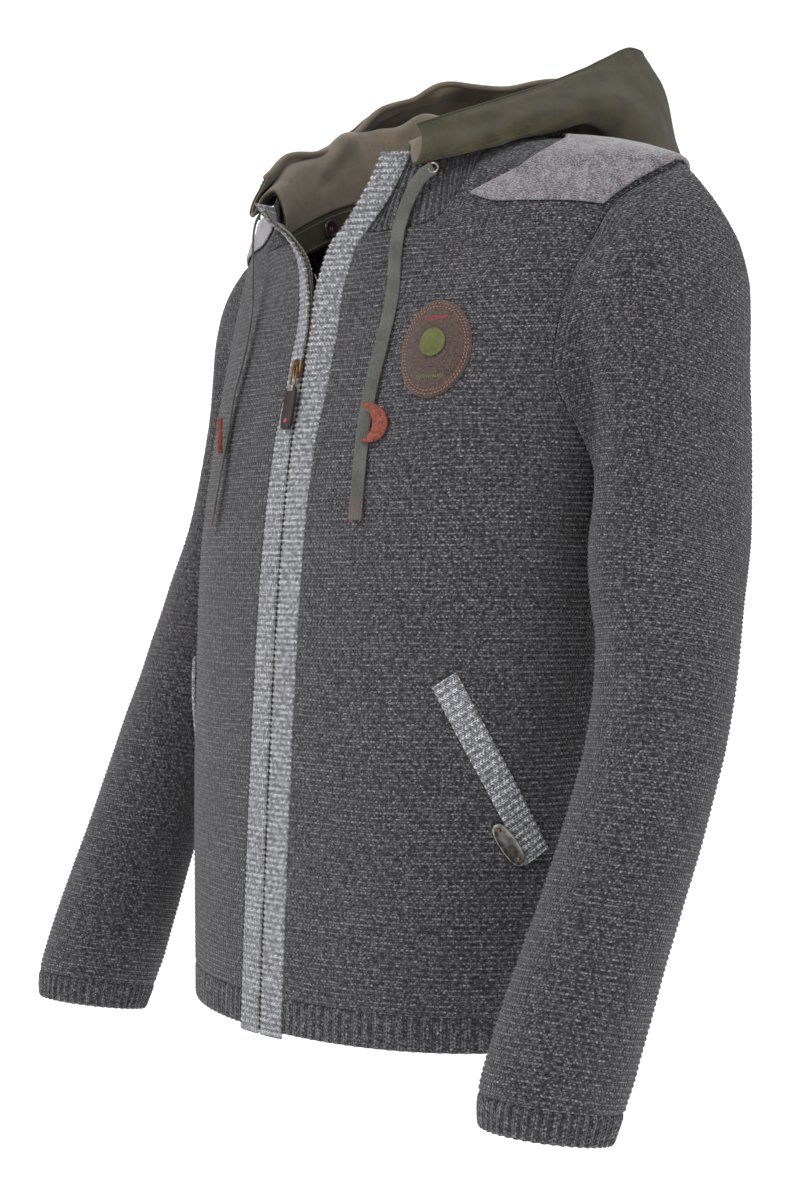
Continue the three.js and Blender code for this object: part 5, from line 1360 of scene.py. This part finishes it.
for side in (LEFT, RIGHT):
    name = SIDE_NAMES[side]
    lengthwise = np.linspace(0, 1, YOKE_ROWS)[:, None]
    share = np.linspace(0, 1, YOKE_COLUMNS)[None, :]
    angle, z = yoke_place(lengthwise, share)
    middle, normals = body_point(side, angle, z), body_normal(side, angle, z)
    uv = pattern_of(middle)
    mat = 0.16 * np.sin(uv[..., 0] / 3.1 + 2 * np.sin(uv[..., 1] / 5)) * np.sin(uv[..., 1] / 2.7)
    border = np.minimum(np.minimum(lengthwise, 1 - lengthwise) * 120, np.minimum(share, 1 - share) * 130)
    soft_edge = 0.8 * np.exp(-((border / 1.6) ** 2))
    low = KNIT / 2 + YOKE_LIFT
    walls = [middle + normals * out[..., None] for out in (low + FELT + mat - soft_edge, low + 0 * mat)]
    made = wall(walls[0], walls[1][::4], uv)
    below = [f"front_knit_{name}"]
    sheet_piece(
        f"felt_patch_{name}", made, felt_finish, f"yoke_{name}", middle, rests_on=below,
    )
    sewn = []
    for run in ((3, slice(3, -3)), (-4, slice(3, -3)), (slice(3, -3), 3), (slice(3, -3), -4)):
        line = walls[0][run] - normals[run] * 0.1
        sewn.append(stitches(line, normals[run], PATCH_PITCH, PATCH_STITCH))
    piece(f"patch_stitches_{name}", merged(*sewn), rose_thread)

# %% [markdown]
# A welt is the ribbed strip along a pocket's slanting mouth. It is knitted like the bands, in the
# paler yarn, with its ribs across its width.

# %% Pocket welts
# angle and height
WELT_TOP, WELT_FOOT = (59.0, -402.0), (79.5, -524.0)
WELT_WIDTH, WELT_WALL, WELT_RUN, WELT_ROWS = 20.0, 3.0, 0.62, 17
WELT_STITCH, WELT_PITCH = (2.6, 0.6, 0.7), 4.0
for side in (LEFT, RIGHT):
    name = SIDE_NAMES[side]
    columns = WELT_RIBS * RIB_COLUMNS + 1
    share = np.linspace(0, 1, columns)[None, :]
    angle, z = lerp(WELT_TOP[0], WELT_FOOT[0], share), lerp(WELT_TOP[1], WELT_FOOT[1], share)
    high, low = body_point(side, *WELT_TOP), body_point(side, *WELT_FOOT)
    fall = np.arctan2(high[2] - low[2], np.linalg.norm(high - low) * WELT_RUN)
    half_wide = np.linspace(-0.5, 0.5, WELT_ROWS)[:, None] * WELT_WIDTH
    across, up = half_wide * np.sin(fall), half_wide * np.cos(fall)
    rounded = 1.5 * np.abs(2 * half_wide / WELT_WIDTH) ** 8
    crest = WELT_WALL - 0.6 + ribs(columns, WELT_RELIEF)[None, :] - rounded
    walls = [beside(side, angle, z, across, up, ON_KNIT + out) for out in (crest, 0 * crest)]
    made = wall(walls[0], walls[1][::4], stacked(share * WELT_RIBS * BAND_RIB, half_wide))
    below = [f"front_knit_{name}"]
    sheet_piece(
        f"welt_{name}_ribbing", made, pale_rib, f"welt_{name}", walls[1], rests_on=below,
    )
    centre = WELT_ROWS // 2, columns // 2
    normals = np.tile(unit(walls[0][centre] - walls[1][centre]), (columns, 1))
    for k, row in enumerate((1, WELT_ROWS - 2)):
        sewn = stitches(walls[0][row], normals, WELT_PITCH, WELT_STITCH)
        piece(f"welt_stitches_{name}_{k}", sewn, rose_thread)

# %% [markdown]
# A badge of suede sits on the left chest: an oval with two rows of copper stitching round a cloth
# boss. A small metal tag, an oval plate with two pins, sits below the left pocket. Each is a set of
# outlines that shrink towards the middle of its face.

# %% Badge and pocket tag
# angle and height of their middles, and half sizes
BADGE, BOSS, TAG = (50.4, -171.0), (50.4, -167.0), (73.2, -515.0)
BADGE_HALF, BOSS_HALF, TAG_HALF = (28, 35), (10, 10), (6, 17)
TAG_TILT, TAG_OUT, PIN_REACH = -35.0, ON_KNIT + 3.3, 12.5
# share of the size, and height off the base
BADGE_ROWS = [
    (0.01, 0), (0.97, 0), (1.0, 0.3), (1.0, 0.8), (0.985, 1.25), (0.95, 1.4), (0.915, 1.2), (0.885, 1.35),
    (0.84, 1.2), (0.8, 1.4), (0.55, 1.5), (0.3, 1.5), (0.01, 1.5),
]
BOSS_ROWS = [(0.02, 0), (0.96, 0), (1, 0.6), (0.97, 1.2), (0.85, 1.6), (0.02, 1.75)]
TAG_ROWS = [
    (0.02, 0), (0.95, 0), (1, 0.2), (1, 0.9), (0.96, 1.2), (0.88, 1.2), (0.84, 0.95), (0.4, 0.95),
    (0.02, 0.95),
]
# radius and height of a pin's profile
PIN = [(0.05, 0), (1.5, 0), (1.5, 1.3), (1.1, 1.8), (0.05, 2.0)]
# pitch, size and lean of the stitches
RING_SEWING = 2.6, (2.0, 0.8, 0.9), 0.5
BOSS_SEWING = 1.3, (3.0, 0.7, 0.8), 1.5
TACK_SEWING = 1.5, (3.4, 0.9, 0.9), 1.2


def oval(side, place, half_sizes, rows, base, tilt=0.0, count=72, corners=2.0):
    """Outlines on the body form: rows of share of the size and height off the base."""
    x, y = (half * part for half, part in zip(half_sizes, squared(turns(count), corners)))
    share, height = (np.array(part, float)[:, None] for part in zip(*rows))
    tilted = np.radians(tilt)
    across = share * (x * np.cos(tilted) + y * np.sin(tilted))
    up = share * (y * np.cos(tilted) - x * np.sin(tilted))
    angle, z = (np.full_like(across, part) for part in place)
    return beside(side, angle, z, across, up, base + height), stacked(share * x, share * y)


def oval_stitches(place, half_sizes, share, base, pitch, size, lean):
    """Stitches round an oval at a share of its size."""
    line = oval(LEFT, place, half_sizes, [(share, 0.0)], base, count=120)[0][0]
    line = np.concatenate([line, line[:1]])
    normals = np.tile(body_normal(LEFT, place[0], place[1]), (len(line), 1))
    return stitches(line, normals, pitch, size, lean)


sections, uv = oval(LEFT, BADGE, BADGE_HALF, BADGE_ROWS, ON_KNIT)
badge = piece("badge_suede", tube(sections, uv), suede_finish, ("badge",))
rings = []
for share in (0.93, 0.86):
    rings.append(oval_stitches(BADGE, BADGE_HALF, share, ON_KNIT + 1.45, *RING_SEWING))
piece("badge_stitches", merged(*rings), copper_thread)
sections, uv = oval(LEFT, BOSS, BOSS_HALF, BOSS_ROWS, ON_KNIT + 1.7)
boss = piece("badge_boss_cloth", tube(sections, uv), moss_cloth, ("badge_boss",))
ring = oval_stitches(BOSS, BOSS_HALF, 0.9, ON_KNIT + 3.1, *BOSS_SEWING)
piece("boss_stitches", ring, moss_thread)
tack_x = np.linspace(-10, 10, 15)
angles, heights = (np.full(15, part) for part in BADGE)
for k, (up, finish) in enumerate(((22.0, red_thread), (-20.0, moss_thread))):
    run = beside(LEFT, angles, heights, tack_x, np.full(15, up), np.full(15, ON_KNIT + 1.55))
    sewn = stitches(run, body_normal(LEFT, angles, heights), *TACK_SEWING)
    piece(f"badge_tack_{k}", sewn, finish)
sections, uv = oval(LEFT, TAG, TAG_HALF, TAG_ROWS, TAG_OUT, TAG_TILT, 64, 2.6)
piece("tag_plate", tube(sections, uv), steel_metal, ("pocket_tag",))
tilted = np.radians(TAG_TILT)
for k, reach in enumerate((-PIN_REACH, PIN_REACH)):
    pin = beside(LEFT, *TAG, reach * np.sin(tilted), reach * np.cos(tilted), TAG_OUT)
    piece(f"tag_pin_{k}", turned(PIN, pin, body_normal(LEFT, *TAG), 20), brass_metal)

# %% [markdown]
# The zip's slider is fixed where the flaps part. Its pull is a separate body that swings on the
# slider's bridge: a wire bail, a small clasp and a moulded rubber tab. The head has its own upright
# axis along the teeth, leaning 11 degrees with them, so its parts are worked out flat and turned.

# %% Zip slider and pull
HEAD_LEAN = np.radians(79.0)
HEAD_PLACE = np.array([
    float(flap[LEFT][0](SLIDER_LEVEL)), float(flap[LEFT][1](SLIDER_LEVEL)) - BAND / 2 - SEAM, SLIDER_LEVEL,
])
HEAD_AXES = np.array([
    [1.0, 0.0, 0.0],
    [0.0, np.cos(HEAD_LEAN), np.sin(HEAD_LEAN)],
    [0.0, -np.sin(HEAD_LEAN), np.cos(HEAD_LEAN)],
])
PIVOT = np.array([0.0, 2.0, 5.3])
BAIL_WIDE, BAIL_LONG, BAIL_WIRE = 2.8, 8.2, 0.8
TAB_WIDE, TAB_LONG, TAB_MIDDLE = 6.0, 16.2, -32.3
DOT_PLACE = np.array([0.0, -42.0, 1.3])


def on_head(points):
    """From the slider's own axes, y up along the teeth and z off them, to the scene's."""
    return points @ HEAD_AXES + HEAD_PLACE


def solid_tube(sections):
    """A tube without a pattern, from outlines on the slider's own axes."""
    return tube(on_head(sections), np.zeros(sections.shape[:2] + (2,)))


reach = np.linspace(-6.5, 6.5, 21)
half_wide = np.interp(reach, [-6.5, -5.5, -2.6, 5.6, 6.5], [2.2, 2.8, 3.9, 4.0, 3.5])
half_deep = np.interp(reach, [-6.5, -5.8, 5.8, 6.5], [1.5, 2.0, 2.0, 1.5])
wide, deep = outline(1.0, 1.0, 24, 4.0)
rows = np.broadcast_arrays(half_wide[:, None] * wide, reach[:, None], half_deep[:, None] * deep + 2.0)
piece("slider_body", solid_tube(np.stack(rows, axis=-1)), brass_metal, ("zip_slider",))
arch = np.linspace(0, np.pi, 25)
bridge_line = stacked(0.0, 2.0 - 4.4 * np.cos(arch), 3.6 + 3.5 * np.sin(arch))
piece("slider_bridge", rolled(on_head(bridge_line), 0.75, 10), brass_metal)

loop = turns(56)
loop_x, loop_y = squared(loop, 5.0)
spoke = stacked(np.cos(loop), np.sin(loop), 0.0)
centre = stacked(BAIL_WIDE * loop_x, BAIL_LONG * (loop_y - 1), 0.0) + PIVOT
bail = closed_tube(on_head(centre[:, None] + circled(spoke, UP, turns(10)) * BAIL_WIRE))
piece("pull_bail", bail, brass_metal, ("zip_pull_bail",), body="pull")

tab_x, tab_y = outline(TAB_WIDE, TAB_LONG, 72, 5.5)
# height and inset of the tab's outlines
TAB = [
    (-1.6, 3.0), (-1.6, 0.9), (-1.4, 0.3), (-1.0, 0.0), (1.0, 0.0), (1.4, 0.3), (1.6, 0.9), (1.6, 1.5),
    (1.35, 1.9), (1.35, 4.5),
]
layers = []
for height, inset in TAB:
    x, y = tab_x * (1 - inset / TAB_WIDE), tab_y * (1 - inset / TAB_LONG)
    layers.append(stacked(x, y + TAB_MIDDLE, height) + PIVOT)
piece("pull_tab", solid_tube(np.array(layers)), rubber_finish, ("zip_pull_tab",), body="pull")
clasp_x, clasp_z = outline(3.2, 2.2, 24, 5.0)
clasp_rows = [(-19.6, 0.9), (-19.2, 1.0), (-16.2, 1.0), (-15.2, 0.85)]
layers = [stacked(clasp_x * size, y, clasp_z * size) + PIVOT for y, size in clasp_rows]
piece("pull_clasp", solid_tube(np.array(layers)), steel_metal, body="pull")
dot_profile = [(0.05, 0), (1.6, 0), (1.6, 0.35), (1.2, 0.5), (0.05, 0.5)]
dot = turned(dot_profile, on_head(PIVOT + DOT_PLACE), HEAD_AXES[2], 24)
piece("pull_dot", dot, red_thread, body="pull")

# %% [markdown]
# The picture was taken against plain white in soft light from all round, a little stronger from the
# camera's left. A white sweep and an even sky give that, and two large lamps give the wool its shape.

# %% Stage and lights
stage_white = bpy.data.materials.new("stage_white")
stage_white.use_nodes = True
stage_shader = stage_white.node_tree.nodes["Principled BSDF"]
stage_shader.inputs["Base Color"].default_value = (0.93, 0.93, 0.93, 1.0)
stage_shader.inputs["Roughness"].default_value = 1.0
stage_shader.inputs["Specular IOR Level"].default_value = 0.0
stage_shader.inputs["Emission Color"].default_value = (1.0, 1.0, 1.0, 1.0)
stage_shader.inputs["Emission Strength"].default_value = 0.35
FLOOR, SWEEP_NEAR, SWEEP_START, SWEEP_RADIUS = -1150.0, -4000.0, 2200.0, 900.0
SWEEP_HALF, SWEEP_TOP = 5000.0, 4200.0
bend = np.linspace(0, np.pi / 2, 24)
ahead = SWEEP_START + SWEEP_RADIUS * np.concatenate([np.sin(bend), [1.0]])
ahead = np.concatenate([[SWEEP_NEAR], ahead])
rise = np.concatenate([[FLOOR], FLOOR + SWEEP_RADIUS * (1 - np.cos(bend)), [SWEEP_TOP]])
aside = np.linspace(-SWEEP_HALF, SWEEP_HALF, 9)
grid = camera_right * aside[None, :, None] + camera_ahead * ahead[:, None, None]
grid = grid + UP * rise[:, None, None]
faces, _ = cells(*grid.shape[:2])
sweep_mesh = bpy.data.meshes.new("sweep")
sweep_mesh.from_pydata((grid.reshape(-1, 3) * MM).tolist(), [], faces.tolist())
sweep_mesh.polygons.foreach_set("use_smooth", np.ones(len(sweep_mesh.polygons), bool))
sweep_mesh.materials.append(stage_white)
sweep = bpy.data.objects.new("sweep", sweep_mesh)
bpy.context.scene.collection.objects.link(sweep)

world = bpy.data.worlds.new("studio")
world.use_nodes = True
world.node_tree.nodes["Background"].inputs["Color"].default_value = (1.0, 1.0, 1.0, 1.0)
world.node_tree.nodes["Background"].inputs["Strength"].default_value = 0.6
bpy.context.scene.world = world


def lamp(name, aside, away, height, size, power):
    """A large soft lamp at a place seen from the camera, aimed at the chest."""
    light = bpy.data.lights.new(name, "AREA")
    light.size = size
    light.energy = power
    thing = bpy.data.objects.new(name, light)
    place = (camera_right * aside - camera_ahead * away + UP * height) * MM
    aim = unit(np.array([0.0, 0.0, -0.3]) - place)
    thing.location = place
    thing.rotation_euler = (np.arccos(-aim[2]), 0.0, np.arctan2(aim[1], aim[0]) - np.pi / 2)
    bpy.context.scene.collection.objects.link(thing)


lamp("key", aside=-1500.0, away=1900.0, height=1500.0, size=1.0, power=44.0)
lamp("fill", aside=1800.0, away=1500.0, height=300.0, size=1.8, power=12.0)
bpy.context.scene.view_settings.view_transform = "Standard"
print("stage and lights stand")
